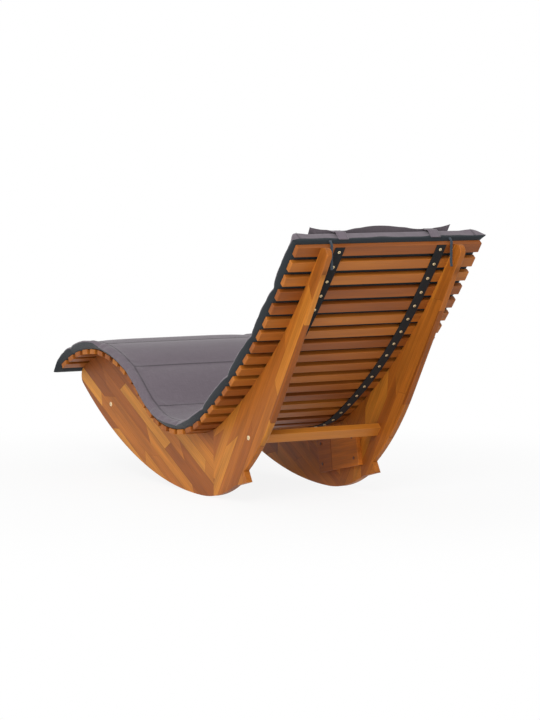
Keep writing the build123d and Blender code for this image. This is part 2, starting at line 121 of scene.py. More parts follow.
class Wire:
    """A number inside a node tree, whose operators add Math nodes."""

    def __init__(self, nodes: "Nodes", socket: Socket) -> None:
        """Keeps the tree and the socket that gives the number."""
        self.nodes = nodes
        self.socket = socket

    def math(self, operation: str, *others: Value, first: bool = True) -> "Wire":
        """Adds one Math node.

        Args:
            operation: The Math node's operation.
            others: The other values.
            first: False puts this value after the other one.

        Returns:
            The node's result.
        """
        values = [self, *others] if first else [*others, self]
        node = self.nodes.make("ShaderNodeMath", {"operation": operation}, dict(enumerate(values)))
        return Wire(self.nodes, node.outputs[0])

    def __add__(self, other: Value) -> "Wire":
        """Sum."""
        return self.math("ADD", other)

    __radd__ = __add__

    def __sub__(self, other: Value) -> "Wire":
        """Difference."""
        return self.math("SUBTRACT", other)

    def __rsub__(self, other: Value) -> "Wire":
        """Difference from a number."""
        return self.math("SUBTRACT", other, first=False)

    def __mul__(self, other: Value) -> "Wire":
        """Product."""
        return self.math("MULTIPLY", other)

    __rmul__ = __mul__

    def __truediv__(self, other: Value) -> "Wire":
        """Quotient."""
        return self.math("DIVIDE", other)

    def __rtruediv__(self, other: Value) -> "Wire":
        """A number divided by this value."""
        return self.math("DIVIDE", other, first=False)

    def __abs__(self) -> "Wire":
        """Size without sign."""
        return self.math("ABSOLUTE")

    def floor(self) -> "Wire":
        """Whole number below."""
        return self.math("FLOOR")

    def sine(self) -> "Wire":
        """Sine of an angle in radians."""
        return self.math("SINE")

    def most(self, other: Value) -> "Wire":
        """Larger of two values."""
        return self.math("MAXIMUM", other)

    def step(self, low: float, high: float) -> "Wire":
        """Smooth step.

        Args:
            low: Value where the step is 0.
            high: Value where the step is 1.

        Returns:
            A value from 0 to 1.
        """
        settings = {"interpolation_type": "SMOOTHSTEP"}
        sockets = {"Value": self, "From Min": low, "From Max": high}
        node = self.nodes.make("ShaderNodeMapRange", settings, sockets)
        return Wire(self.nodes, node.outputs["Result"])


class Nodes:
    """Node tree of a material, a world or a repeated shape."""

    def __init__(self, tree: bpy.types.NodeTree) -> None:
        """Empties the tree."""
        self.tree = tree
        tree.nodes.clear()

    def make(self, kind: str, settings: dict | None = None, sockets: dict | None = None) -> bpy.types.Node:
        """Adds any node.

        Args:
            kind: The node's type.
            settings: Its own settings; "stops" are a ramp's places and colours.
            sockets: Values or links of its inputs, by name or number.

        Returns:
            The node.
        """
        node = self.tree.nodes.new(kind)
        for key, value in (settings or {}).items():
            if key == "stops":
                self._stops(node.color_ramp, value)
            else:
                setattr(node, key, value)
        for key, value in (sockets or {}).items():
            if isinstance(value, Wire):
                self.tree.links.new(value.socket, node.inputs[key])
            elif isinstance(value, Socket):
                self.tree.links.new(value, node.inputs[key])
            elif isinstance(value, tuple) and len(value) == 3 and node.inputs[key].type == "RGBA":
                node.inputs[key].default_value = (*value, 1.0)
            else:
                node.inputs[key].default_value = value
        return node

    def _stops(self, ramp: bpy.types.ColorRamp, stops: Sequence[tuple[float, Colour]]) -> None:
        """Sets a colour ramp's stops.

        Args:
            ramp: The ramp.
            stops: Place and colour of each stop, in order.
        """
        while len(ramp.elements) < len(stops):
            ramp.elements.new(0.5)
        for element, (place, colour) in zip(ramp.elements, stops):
            element.position = place
            element.color = (*colour, 1.0)

    def axes(self, socket: Socket) -> tuple[Wire, Wire, Wire]:
        """The three parts of a vector socket."""
        node = self.make("ShaderNodeSeparateXYZ", None, {0: socket})
        return tuple(Wire(self, out) for out in node.outputs)

    def vector(self, *parts: Union[Value, Socket]) -> Socket:
        """Vector from its parts."""
        return self.make("ShaderNodeCombineXYZ", None, dict(enumerate(parts))).outputs[0]

    def noise(self, place: Socket, detail: float, scale: float = 1.0, rough: float = 0.55) -> Wire:
        """Noise texture.

        Args:
            place: Where it is read.
            detail: Its number of octaves.
            scale: Its scale.
            rough: How strong the finer octaves are.

        Returns:
            Its value, around 0.5.
        """
        sockets = {"Vector": place, "Scale": scale, "Detail": detail, "Roughness": rough}
        return Wire(self, self.make("ShaderNodeTexNoise", None, sockets).outputs[0])

    def chance(self, *parts: Value) -> Wire:
        """Value from 0 to 1 that is fixed for each set of whole numbers."""
        sockets = {"Vector": self.vector(*parts)}
        node = self.make("ShaderNodeTexWhiteNoise", {"noise_dimensions": "3D"}, sockets)
        return Wire(self, node.outputs["Value"])

    def ramp(self, value: Wire, stops: Sequence[tuple[float, Colour]]) -> Socket:
        """Colour of a ramp at a value."""
        return self.make("ShaderNodeValToRGB", {"stops": stops}, {0: value}).outputs[0]

    def shade(self, colour: Union[Colour, Socket], value: Wire) -> Socket:
        """Colour scaled by a value."""
        node = self.make("ShaderNodeVectorMath", {"operation": "SCALE"}, {0: colour, "Scale": value})
        return node.outputs[0]

    def bump(self, height: Wire, distance: float, strength: float) -> Socket:
        """Normal from a height."""
        sockets = {"Height": height, "Distance": distance, "Strength": strength}
        return self.make("ShaderNodeBump", None, sockets).outputs[0]


class Material(Nodes):
    """Material with one main shader."""

    def __init__(self, name: str) -> None:
        """Adds an empty material."""
        self.material = bpy.data.materials.new(name)
        self.material.use_nodes = True
        super().__init__(self.material.node_tree)

    def finish(self, sockets: dict) -> Finish:
        """Adds the main shader.

        Args:
            sockets: Values or links of its inputs.

        Returns:
            The finished material.
        """
        shader = self.make("ShaderNodeBsdfPrincipled", None, sockets)
        self.make("ShaderNodeOutputMaterial", None, {"Surface": shader.outputs[0]})
        return self.material

    def place(self, lay: Lay = Lay.FRAME) -> Socket:
        """Place in the shared frame, or on the piece's own surface."""
        return self.make("ShaderNodeTexCoord").outputs[lay.value]


@dataclass(frozen=True)
class Grain:
    """Figure, growth rings and pores of acacia.

    Args:
        figure: Changes of the figure in a metre, along and across the grain.
        pores: Changes of the pores in a metre, along and across the grain.
        ring_bend: How far the figure bends the rings, in radians.
        figure_light: Share of the figure in the tone.
        ring_light: Share of the rings in the tone.
        base_light: Tone without figure, rings and pores.
        pore_light: Share of the pores in the tone.
        pore_height: Share of the pores in the relief.
        ring_height: Share of the rings in the relief.
    """

    figure: Pair
    pores: Pair
    ring_bend: float
    figure_light: float
    ring_light: float
    base_light: float
    pore_light: float = 0.22
    pore_height: float = 0.6
    ring_height: float = 0.25

    def read_figure(self, paint: Material, place: Sequence[Wire], jump: Value | None = None) -> Wire:
        """Broad figure of the wood.

        Args:
            paint: The material.
            place: Place along the grain, across it and through it.
            jump: How far the figure is moved along the grain and through it.

        Returns:
            A value around 0.5.
        """
        long, wide = self.figure
        along, across, through = (part * rate for part, rate in zip(place, (long, wide, wide)))
        if jump is not None:
            along, through = along + jump, through + jump
        return paint.noise(paint.vector(along, across, through), detail=5.0, rough=0.6)

    def read_pores(self, paint: Material, place: Sequence[Wire]) -> Wire:
        """Fine pores of the wood at such a place, around 0.5."""
        long, wide = self.pores
        along, across, through = (part * rate for part, rate in zip(place, (long, wide, wide)))
        return paint.noise(paint.vector(along, across, through), detail=3.0)

    def read_rings(self, turn: Wire, figure: Wire) -> Wire:
        """Growth rings from 0 to 1, at an angle that the figure bends."""
        return (turn + figure * self.ring_bend).sine() * 0.5 + 0.5

    def light(self, figure: Wire, rings: Wire, pores: Wire) -> Wire:
        """Factor on the wood's colour."""
        bands = figure * self.figure_light + rings * self.ring_light
        return bands + pores * self.pore_light + self.base_light

    def height(self, rings: Wire, pores: Wire) -> Wire:
        """Relief of the wood."""
        return pores * self.pore_height + rings * self.ring_height


@dataclass(frozen=True)
class Oil:
    """Oil on the wood.

    Args:
        gloss: Specular level.
        mark_rough: How much rougher the marks are, which are glue lines or end grain.
        rough: Middle roughness.
        pore_rough: How much the pores change the roughness.
        relief: Height of the relief, in metres.
        strength: Strength of the relief.
    """

    gloss: float
    mark_rough: float
    rough: float = 0.50
    pore_rough: float = 0.25
    relief: float = 0.0004
    strength: float = 0.35

    def coat(self, paint: Material, tint: Socket, pores: Wire, mark: Wire, height: Wire) -> Finish:
        """Ends a wood material.

        Args:
            paint: The material.
            tint: Colour of the wood.
            pores: Its pores.
            mark: 1 on the marks, and 0 elsewhere.
            height: Its relief.

        Returns:
            The finished material.
        """
        return paint.finish({
            "Base Color": tint,
            "Roughness": self.rough + (pores - 0.5) * self.pore_rough + mark * self.mark_rough,
            "Specular IOR Level": self.gloss,
            "Normal": paint.bump(height, self.relief, self.strength),
        })


ACACIA_STOPS = (
    (0.0, tone(136, 71, 20)),
    (0.22, tone(161, 88, 27)),
    (0.55, tone(186, 109, 34)),
    (0.82, tone(205, 129, 43)),
    (1.0, tone(228, 157, 62)),
)


@dataclass(frozen=True)
class BoardFinish:
    """Oiled acacia glued up from strips, in blocks with slanted ends.

    Args:
        name: The material's name.
        heading: Direction of the strips in the YZ plane, in degrees from +Y.
        seed: Which set of blocks.
        strip: Width of a strip, in metres.
        block: Length of a block, in metres.
        bright: Factor on the tones.
        first_strip: Share of a strip that lies below the origin.
        stagger: How many blocks the strips are shifted by, at most.
        slant: Twice the most that a block's end leans across its strip, in metres.
        tones: Lowest place in the range of acacia tones, and the width of the range.
        jump: How far the figure jumps between blocks.
        ring_turn: Turn of the growth rings in a metre, in radians.
        joint_line: Where the glue line between strips starts and is full, in strips from the middle.
        end_line: Where the glue line between blocks starts and is full, in blocks from the middle.
        line_dark: How much darker the glue lines are.
        line_depth: How deep the glue lines are in the relief.
        face_light: How much lighter the side faces are than the edges; painted shade on the edges.
        grain: The wood's grain.
        oil: The oil on it.
    """

    name: str
    heading: float
    seed: int
    strip: float = 0.038
    block: float = 0.34
    bright: float = 1.0
    first_strip: float = 0.37
    stagger: float = 5.0
    slant: float = 0.16
    tones: Pair = (0.08, 0.84)
    jump: float = 3.0
    ring_turn: float = 900.0
    joint_line: Pair = (0.482, 0.499)
    end_line: Pair = (0.4965, 0.4995)
    line_dark: float = 0.35
    line_depth: float = 1.2
    face_light: float = 0.12
    grain: Grain = Grain(
        figure=(3.5, 46.0), pores=(30.0, 900.0), ring_bend=26.0,
        figure_light=1.15, ring_light=0.12, base_light=0.25,
    )
    oil: Oil = Oil(gloss=0.25, mark_rough=0.15)

    def material(self) -> Finish:
        """Makes the material."""
        paint = Material(self.name)
        x, y, z = paint.axes(paint.place())
        lean, rise = cos(radians(self.heading)), sin(radians(self.heading))
        along = y * lean + z * rise
        across = z * lean - y * rise
        strips = across / self.strip + self.first_strip
        strip = strips.floor()
        inside = strips - strip
        start = paint.chance(strip, self.seed, Draw.START.value) * self.stagger
        turned = paint.chance(strip, self.seed, Draw.SLANT.value) - 0.5
        blocks = along / self.block + start + (inside - 0.5) * turned * (self.slant / self.block)
        block = blocks.floor()
        pick = paint.chance(strip, block, self.seed)
        colour = paint.ramp(pick * self.tones[1] + self.tones[0], ACACIA_STOPS)
        place = (along, across, x)
        figure = self.grain.read_figure(paint, place, pick * self.jump)
        rings = self.grain.read_rings(across * self.ring_turn, figure)
        pores = self.grain.read_pores(paint, place)
        joints = abs(inside - 0.5).step(*self.joint_line)
        line = joints.most(abs(blocks - block - 0.5).step(*self.end_line))
        # Painted shade: faces that don't point along X, the boards' edges, are made darker.
        facing = abs(paint.axes(paint.make("ShaderNodeNewGeometry").outputs["True Normal"])[0])
        light = self.grain.light(figure, rings, pores) * (1.0 - line * self.line_dark)
        light = light * (facing * self.face_light + (1.0 - self.face_light)) * self.bright
        height = self.grain.height(rings, pores) - line * self.line_depth
        return self.oil.coat(paint, paint.shade(colour, light), pores, line, height)


@dataclass(frozen=True)
class BarFinish:
    """Oiled acacia of one solid bar, with its grain along X.

    Args:
        name: The material's name.
        pick: Place in the range of acacia tones, from 0 to 1.
        half: Half the bar's length, in metres.
        bright: Factor on the tone.
        drift: How far the tone drifts within the bar.
        drift_rates: Changes of the drift in a metre, along and across the grain.
        ring_turns: Turns of the growth rings in a metre along Y and Z, in radians.
        end_band: Distances from the bar's end where the end grain starts and is full, in metres.
        end_light: How much lighter the end grain is; this is painted light on the bar's ends.
        grain: The wood's grain.
        oil: The oil on it.
    """

    name: str
    pick: float
    half: float
    bright: float = 1.0
    drift: float = 0.85
    drift_rates: Pair = (2.2, 17.0)
    ring_turns: Pair = (700.0, 800.0)
    end_band: Pair = (0.004, 0.0008)
    end_light: float = 0.22
    grain: Grain = Grain(
        figure=(3.0, 60.0), pores=(26.0, 900.0), ring_bend=24.0,
        figure_light=0.5, ring_light=0.08, base_light=0.62,
    )
    oil: Oil = Oil(gloss=0.35, mark_rough=0.12)

    def material(self) -> Finish:
        """Makes the material."""
        paint = Material(self.name)
        place = paint.axes(paint.place())
        x, y, z = place
        long, wide = self.drift_rates
        drift = paint.noise(paint.vector(x * long, y * wide, z * wide), detail=2.0)
        colour = paint.ramp((drift - 0.5) * self.drift + self.pick, ACACIA_STOPS)
        figure = self.grain.read_figure(paint, place)
        rings = self.grain.read_rings(y * self.ring_turns[0] + z * self.ring_turns[1], figure)
        pores = self.grain.read_pores(paint, place)
        # Painted light: both ends of each bar are made lighter, as if the lamp fell on them.
        end = abs(x).step(*(self.half - band for band in self.end_band))
        light = self.grain.light(figure, rings, pores) * (1.0 + end * self.end_light) * self.bright
        height = self.grain.height(rings, pores)
        return self.oil.coat(paint, paint.shade(colour, light), pores, end, height)


@dataclass(frozen=True)
class ClothFinish:
    """Woven cloth with mottled yarns.

    Args:
        name: The material's name.
        colour: Middle colour of the yarns.
        pitch: Distance between yarns, in metres.
        lay: What the yarns run along.
        mottle: How much the yarns differ.
        sheen: How much soft fuzz it has.
        weft_lean: Shares of Y and Z in the weft, where the yarns run along the frame.
        yarn_rates: Changes of the mottle in a metre, across and along a yarn.
        other_yarns: Shift of the second set of yarns.
        cloud: How much the tone drifts over the cloth.
        cloud_rate: Changes of that drift in a metre.
        crossing: How much the crossings of the yarns show in the tone.
        rough: Middle roughness.
        yarn_rough: How much the yarns change the roughness.
        gloss: Specular level.
        fuzz_rough: Roughness of the fuzz.
        relief: Height of the weave, in metres.
        strength: Strength of the relief.
        crossing_height: Share of the crossings in the relief.
        yarn_height: Share of each set of yarns in the relief.
    """

    name: str
    colour: Colour
    pitch: float = 0.0016
    lay: Lay = Lay.SURFACE
    mottle: float = 0.5
    sheen: float = 0.25
    weft_lean: Pair = (0.8, 0.9)
    yarn_rates: Pair = (620.0, 34.0)
    other_yarns: float = 4.0
    cloud: float = 0.14
    cloud_rate: float = 9.0
    crossing: float = 0.05
    rough: float = 0.86
    yarn_rough: float = 0.16
    gloss: float = 0.2
    fuzz_rough: float = 0.5
    relief: float = 0.0004
    strength: float = 0.4
    crossing_height: float = 0.5
    yarn_height: float = 0.3

    def material(self) -> Finish:
        """Makes the material."""
        paint = Material(self.name)
        warp, weft, third = paint.axes(paint.place(self.lay))
        if self.lay is Lay.FRAME:
            weft = weft * self.weft_lean[0] + third * self.weft_lean[1]
        turn = 2.0 * pi / self.pitch
        over = (warp * turn * 0.5).sine() * (weft * turn * 0.5).sine()
        fine, long = self.yarn_rates
        yarn_a = paint.noise(paint.vector(warp * fine, weft * long, 0.0), detail=2.0)
        yarn_b = paint.noise(paint.vector(warp * long, weft * fine, self.other_yarns), detail=2.0)
        cloud = paint.noise(paint.vector(warp, weft, 0.0), detail=3.0, scale=self.cloud_rate)
        light = (yarn_a + yarn_b - 1.0) * self.mottle + (cloud - 0.5) * self.cloud
        light = light + over * self.crossing + 1.0
        height = over * self.crossing_height + yarn_a * self.yarn_height + yarn_b * self.yarn_height
        return paint.finish({
            "Base Color": paint.shade(self.colour, light * self.shadow(warp, weft)),
            "Roughness": self.rough + (yarn_a - 0.5) * self.yarn_rough,
            "Specular IOR Level": self.gloss,
            "Sheen Weight": self.sheen,
            "Sheen Roughness": self.fuzz_rough,
            "Normal": paint.bump(height, self.relief, self.strength),
        })

    def shadow(self, warp: Wire, weft: Wire) -> Value:
        """Factor of painted shade on the tone where the cloth is sewn down; plain cloth has no such lines.

        Args:
            warp: Place across the cloth.
            weft: Place along the cloth.

        Returns:
            The factor.
        """
        return 1.0


@dataclass(frozen=True)
class QuiltFinish(ClothFinish):
    """Cloth with painted shade in the grooves along its sewn lines.

    Args:
        border: Distance of the border lines from the middle, in metres.
        first: Distance of the first cross line from the head, in metres.
        panel: Distance between cross lines, in metres.
        core: Half the width of a line's full shade, in metres.
        reach: Half the width of a line's whole shade, in metres.
        fade: Width over which the cross lines end at the border, in metres.
        shade: How much darker the painted shade makes the lines.
    """

    border: float = 0.0
    first: float = 0.0
    panel: float = 1.0
    core: float = 0.0012
    reach: float = 0.0045
    fade: float = 0.001
    shade: float = 0.42

    def shadow(self, warp: Wire, weft: Wire) -> Wire:
        """Factor of painted shade on the tone, lowest on the border lines and the cross lines between them.
        """
        aside = abs(warp)
        border = 1.0 - abs(aside - self.border).step(self.core, self.reach)
        steps = (weft - self.first) / self.panel + 0.5
        cross = 1.0 - (abs(steps - steps.floor() - 0.5) * self.panel).step(self.core, self.reach)
        cross = cross * (1.0 - aside.step(self.border, self.border + self.fade))
        return 1.0 - border.most(cross) * self.shade


@dataclass(frozen=True)
class FastenerFinish:
    """Plated metal with fine tarnish.

    Args:
        name: The material's name.
        colour: Colour of the plating.
        metallic: How metallic it is.
        rough: Its roughness.
        spot_rate: Changes of the tarnish in a metre.
        spot_light: Lowest tone, and how much the tarnish changes it.
        spot_rough: How much the tarnish changes the roughness.
    """

    name: str
    colour: Colour
    metallic: float = 0.55
    rough: float = 0.38
    spot_rate: float = 420.0
    spot_light: Pair = (0.82, 0.35)
    spot_rough: float = 0.3

    def material(self) -> Finish:
        """Makes the material."""
        paint = Material(self.name)
        spots = paint.noise(paint.place(), detail=3.0, scale=self.spot_rate)
        return paint.finish({
            "Base Color": paint.shade(self.colour, spots * self.spot_light[1] + self.spot_light[0]),
            "Metallic": self.metallic,
            "Roughness": self.rough + (spots - 0.5) * self.spot_rough,
        })


MAUVE = tone(108, 98, 106)
PAD_UNDERSIDE = ClothFinish("pad_slate_weave", tone(29, 36, 41), pitch=0.0012, mottle=0.25)
PAD_THREAD = ClothFinish("pad_thread", tone(74, 67, 74), pitch=0.0008, lay=Lay.FRAME, mottle=0.2)
PILLOW_COVER = ClothFinish("pillow_mauve_weave", MAUVE)
# Painted shade: the pillow's lower sheet is its mauve cloth made darker, so that its underside looks
# shaded.
PILLOW_BACK_PAINTED_SHADE = ClothFinish("pillow_back_painted_shade_weave", tone(84, 76, 82))
TAPE_WEAVE = ClothFinish("tape_weave", tone(52, 62, 72), pitch=0.0010, mottle=0.2)
WEBBING_WEAVE = ClothFinish(
    "webbing_weave", tone(16, 16, 18), pitch=0.0024, lay=Lay.FRAME, mottle=0.6, sheen=0.1,
)
SCREW_PLATING = FastenerFinish("screw_plating", tone(226, 205, 160))
SCREW_BROWNING = FastenerFinish("screw_browning", tone(104, 62, 38), metallic=0.2, rough=0.5)
BOLT_PLATING = FastenerFinish("bolt_plating", tone(236, 214, 170))
RECESS_SHADOW = FastenerFinish("recess_shadow", tone(74, 62, 44), metallic=0.4, rough=0.6)
SOCKET_SHADOW = FastenerFinish("socket_shadow", tone(168, 148, 110), metallic=0.4, rough=0.5)


@dataclass(frozen=True)
class SlatSeat:
    """Place of one slat: the middle of its underside, and its directions to the head and up."""

    middle: Vector
    to_head: Vector
    up: Vector


@dataclass
class Bed:
    """Curve of the bed along the slats' underside, and the slats on it, in metres.

    The front is where the side boards' front end lies in the frame, and the shift leads there from
    the curve's own Y.
    """

    front: float
    slat_count: int = 34
    slat_width: float = 0.033
    slat_thickness: float = 0.015
    slat_pitch: float = 0.0529
    seat_low: Pair = (0.0202, 0.1818)
    seat_radius: float = 0.3347
    turn_to_back: float = 30.6
    turn_to_thigh: float = 41.1
    back_radius: float = 1.684
    back_length: float = 0.577
    upper_back_radius: float = 3.712
    upper_back_length: float = 0.205
    crest_radius: float = 0.466
    foot_radius: float = 0.030
    front_reach: float = 0.246
    seat_gap: float = 0.0001
    shift: float = field(init=False)
    arcs: list[tuple[Pair, float, float, float]] = field(init=False)
    seats: list[SlatSeat] = field(init=False)

    def __post_init__(self) -> None:
        """Finds the arcs' centres, each tangent to the next, and the slats on them."""
        seat = (self.seat_low[0], self.seat_low[1] + self.seat_radius)
        back_start = -90.0 + self.turn_to_back
        back = self.on_circle(seat, self.seat_radius - self.back_radius, back_start)
        back_end = back_start + degrees(self.back_length / self.back_radius)
        upper = self.on_circle(back, self.back_radius - self.upper_back_radius, back_end)
        upper_end = back_end + degrees(self.upper_back_length / self.upper_back_radius)
        thigh_end = -90.0 - self.turn_to_thigh
        crest = self.on_circle(seat, self.seat_radius + self.crest_radius, thigh_end)
        front_end = crest[0] - self.front_reach
        self.shift = self.front - front_end
        foot_y = front_end + self.foot_radius
        rise = sqrt((self.crest_radius - self.foot_radius) ** 2 - (foot_y - crest[0]) ** 2)
        foot = (foot_y, crest[1] + rise)
        crest_end = degrees(atan2(foot[1] - crest[1], foot[0] - crest[0]))
        crest_start = thigh_end + 180.0
        self.arcs = [
            (upper, self.upper_back_radius, upper_end, back_end - upper_end),
            (back, self.back_radius, back_end, back_start - back_end),
            (seat, self.seat_radius, back_start, thigh_end - back_start),
            (crest, self.crest_radius, crest_start, crest_end - crest_start),
            (foot, self.foot_radius, crest_end, 180.0 - crest_end),
        ]
        self.seats = [self.seat(index) for index in range(self.slat_count)]

    @property
    def run(self) -> float:
        """Distance from the first slat's head edge to the last one's foot edge."""
        return self.slat_width + (self.slat_count - 1) * self.slat_pitch

    @staticmethod
    def on_circle(centre: Pair, radius: float, angle: float) -> Pair:
        """Point of a circle, with the angle in degrees from +Y."""
        return centre[0] + radius * cos(radians(angle)), centre[1] + radius * sin(radians(angle))

    def point(self, distance: float) -> tuple[Vector, Vector]:
        """Point of the curve.

        Args:
            distance: Distance from the head end.

        Returns:
            The point and the upward normal.
        """
        left = distance
        for centre, radius, start, sweep in self.arcs:
            length = radius * radians(abs(sweep))
            if left <= length or radius == self.foot_radius:
                break
            left -= length
        angle = start + degrees(left / radius) * (1 if sweep > 0 else -1)
        normal = radians(angle if sweep > 0 else angle + 180.0)
        y, z = self.on_circle(centre, radius, angle)
        return Vector((0.0, y + self.shift, z)), Vector((0.0, cos(normal), sin(normal)))

    def seat(self, index: int) -> SlatSeat:
        """Place of a slat, counted from the head."""
        middle = self.slat_width / 2 + index * self.slat_pitch
        spot, up = self.point(middle)
        head, _ = self.point(middle - self.slat_width / 2)
        tail, _ = self.point(middle + self.slat_width / 2)
        bridge = ((head + tail) / 2 - spot).dot(up)
        spot = spot + up * (max(bridge, 0.0) + self.seat_gap)
        return SlatSeat(spot, Vector((0.0, up.z, -up.y)), up)

    def past_edge(self, index: int, past: float, high: float) -> Vector:
        """Point at a slat, in the middle of the bed.

        Args:
            index: The slat, counted from the head.
            past: Distance from the slat's head edge towards the head.
            high: Height over the slat's underside.

        Returns:
            The point.
        """
        seat = self.seats[index]
        return seat.middle + seat.to_head * (self.slat_width / 2 + past) + seat.up * high


def plain_object(name: str, mesh: Mesh) -> Piece:
    """Puts a mesh into the scene at the origin."""
    piece = bpy.data.objects.new(name, mesh)
    bpy.context.scene.collection.objects.link(piece)
    return piece


def evaluated_mesh(piece: Piece) -> Mesh:
    """Plain mesh of a piece with its modifiers applied."""
    graph = bpy.context.evaluated_depsgraph_get()
    return bpy.data.meshes.new_from_object(piece.evaluated_get(graph), depsgraph=graph)


def apply_modifiers(piece: Piece) -> None:
    """Turns a piece with modifiers into one with a plain smooth mesh."""
    mesh = evaluated_mesh(piece)
    piece.modifiers.clear()
    piece.data = mesh
    mesh.shade_smooth()


def paint_node(name: str, material: Finish) -> None:
    """Gives a CAD node its finish."""
    for slot in frame["nodes"][name].material_slots:
        slot.material = material


def report(piece: Piece) -> None:
    """Logs a finished piece."""
    LOG.info("%s: %d points", piece.name, len(piece.data.vertices))


def fix(piece: Piece, body: str, slot: str, *nodes: str) -> None:
    """Fixes a finished piece to a body.

    Args:
        piece: The piece.
        body: The CAD body that it moves with.
        slot: The record's material slot; not used.
        nodes: The CAD nodes that it stands for.
    """
    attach(piece, body)
    if nodes:
        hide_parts(*nodes)
    report(piece)


class Repeat(Nodes):
    """Geometry Nodes tree that repeats a small shape along lines or on points."""

    def __init__(self, name: str, sizes: dict[str, float]) -> None:
        """Adds a tree with named inputs.

        Args:
            name: The tree's name.
            sizes: Name and value of each size.
        """
        super().__init__(bpy.data.node_groups.new(name, "GeometryNodeTree"))
        self.name = name
        self.sizes = sizes
        face = self.tree.interface
        face.new_socket("Geometry", in_out="INPUT", socket_type="NodeSocketGeometry")
        for word in sizes:
            face.new_socket(word, in_out="INPUT", socket_type="NodeSocketFloat")
        face.new_socket("Finish", in_out="INPUT", socket_type="NodeSocketMaterial")
        face.new_socket("Geometry", in_out="OUTPUT", socket_type="NodeSocketGeometry")
        self.source = self.make("NodeGroupInput")

    def size(self, word: str) -> Socket:
        """One of the tree's named inputs."""
        return self.source.outputs[word]

    def sized(self, *words: str) -> Socket:
        """Vector of three named inputs."""
        return self.vector(*(self.size(word) for word in words))

    def aligned(self, axis: str, way: Socket) -> Socket:
        """Rotation that lays an axis of the shape along a direction."""
        return self.make("FunctionNodeAlignRotationToVector", {"axis": axis}, {"Vector": way}).outputs[0]

    def close(self, points: Socket, shape: Socket, turn: Socket) -> None:
        """Ends the tree.

        Args:
            points: Points or a curve to put the shape on.
            shape: The shape.
            turn: The shape's rotation on each point.
        """
        sockets = {"Points": points, "Instance": shape, "Rotation": turn}
        put = self.make("GeometryNodeInstanceOnPoints", None, sockets)
        real = self.make("GeometryNodeRealizeInstances", None, {0: put.outputs[0]})
        sockets = {"Geometry": real.outputs[0], "Material": self.size("Finish")}
        dressed = self.make("GeometryNodeSetMaterial", None, sockets)
        self.make("NodeGroupOutput", None, {0: dressed.outputs[0]})

    def close_aimed(self, shape: Socket) -> None:
        """Ends a tree that puts the shape on points with an "aim"."""
        settings = {"data_type": "FLOAT_VECTOR"}
        aim = self.make("GeometryNodeInputNamedAttribute", settings, {"Name": "aim"})
        self.close(self.size("Geometry"), shape, self.aligned("Z", aim.outputs[0]))

    def build(self, name: str, source: Mesh, finish: Finish) -> Piece:
        """Runs the tree on a mesh.

        Args:
            name: The piece's name.
            source: Lines or points.
            finish: The shapes' material.

        Returns:
            A piece with a plain mesh.
        """
        carrier = plain_object(name, source)
        modifier = carrier.modifiers.new(self.name, "NODES")
        modifier.node_group = self.tree
        for item in self.tree.interface.items_tree:
            if item.in_out == "INPUT" and item.name in self.sizes:
                modifier[item.identifier] = self.sizes[item.name]
            elif item.in_out == "INPUT" and item.name == "Finish":
                modifier[item.identifier] = finish
        apply_modifiers(carrier)
        return carrier


def stitch_row(pitch: float, length: float, thread: float) -> Repeat:
    """Tree that sews small stitches along lines.

    Args:
        pitch: Distance between stitches.
        length: Length of a stitch.
        thread: Thickness of the thread.

    Returns:
        The tree.
    """
    tree = Repeat("stitch_row", {"Pitch": pitch, "Length": length, "Thread": thread})
    curve = tree.make("GeometryNodeMeshToCurve", None, {0: tree.size("Geometry")})
    sockets = {"Curve": curve.outputs[0], "Length": tree.size("Pitch")}
    spaced = tree.make("GeometryNodeResampleCurve", {"mode": "LENGTH"}, sockets)
    bead = tree.make("GeometryNodeMeshUVSphere", None, {"Segments": 6, "Rings": 4, "Radius": 0.5})
    sockets = {"Geometry": bead.outputs[0], "Scale": tree.sized("Length", "Thread", "Thread")}
    stitch = tree.make("GeometryNodeTransform", None, sockets)
    way = tree.make("GeometryNodeInputTangent")
    tree.close(spaced.outputs[0], stitch.outputs[0], tree.aligned("X", way.outputs[0]))
    return tree


def cross_recess(arm: float, width: float, depth: float) -> Repeat:
    """Tree that puts a dark cross of painted shade, standing for a screw's recess, on points with an "aim".

    Args:
        arm: Length of the cross.
        width: Width of its arms.
        depth: Its thickness.

    Returns:
        The tree.
    """
    tree = Repeat("cross_recess", {"Arm": arm, "Width": width, "Depth": depth})
    both = tree.make("GeometryNodeJoinGeometry")
    for first, second in (("Arm", "Width"), ("Width", "Arm")):
        bar = tree.make("GeometryNodeMeshCube", None, {"Size": tree.sized(first, second, "Depth")})
        tree.tree.links.new(bar.outputs[0], both.inputs[0])
    tree.close_aimed(both.outputs[0])
    return tree


def hex_recess(radius: float, depth: float) -> Repeat:
    """Tree that puts a dark hexagon of painted shade, standing for a bolt's socket, on points with an
    "aim".

    Args:
        radius: Radius of the socket.
        depth: Its thickness.

    Returns:
        The tree.
    """
    tree = Repeat("hex_recess", {"Radius": radius, "Depth": depth})
    sockets = {"Vertices": 6, "Radius": tree.size("Radius"), "Depth": tree.size("Depth")}
    tree.close_aimed(tree.make("GeometryNodeMeshCylinder", None, sockets).outputs[0])
    return tree


def line_mesh(name: str, lines: Iterable[Sequence[Vector]]) -> Mesh:
    """Mesh of open lines.

    Args:
        name: The mesh's name.
        lines: Points of each line.

    Returns:
        A mesh with edges only.
    """
    points: list[Vector] = []
    edges: list[tuple[int, int]] = []
    for line in lines:
        first = len(points)
        points.extend(line)
        edges.extend((first + step, first + step + 1) for step in range(len(line) - 1))
    mesh = bpy.data.meshes.new(name)
    mesh.from_pydata(points, edges, [])
    return mesh


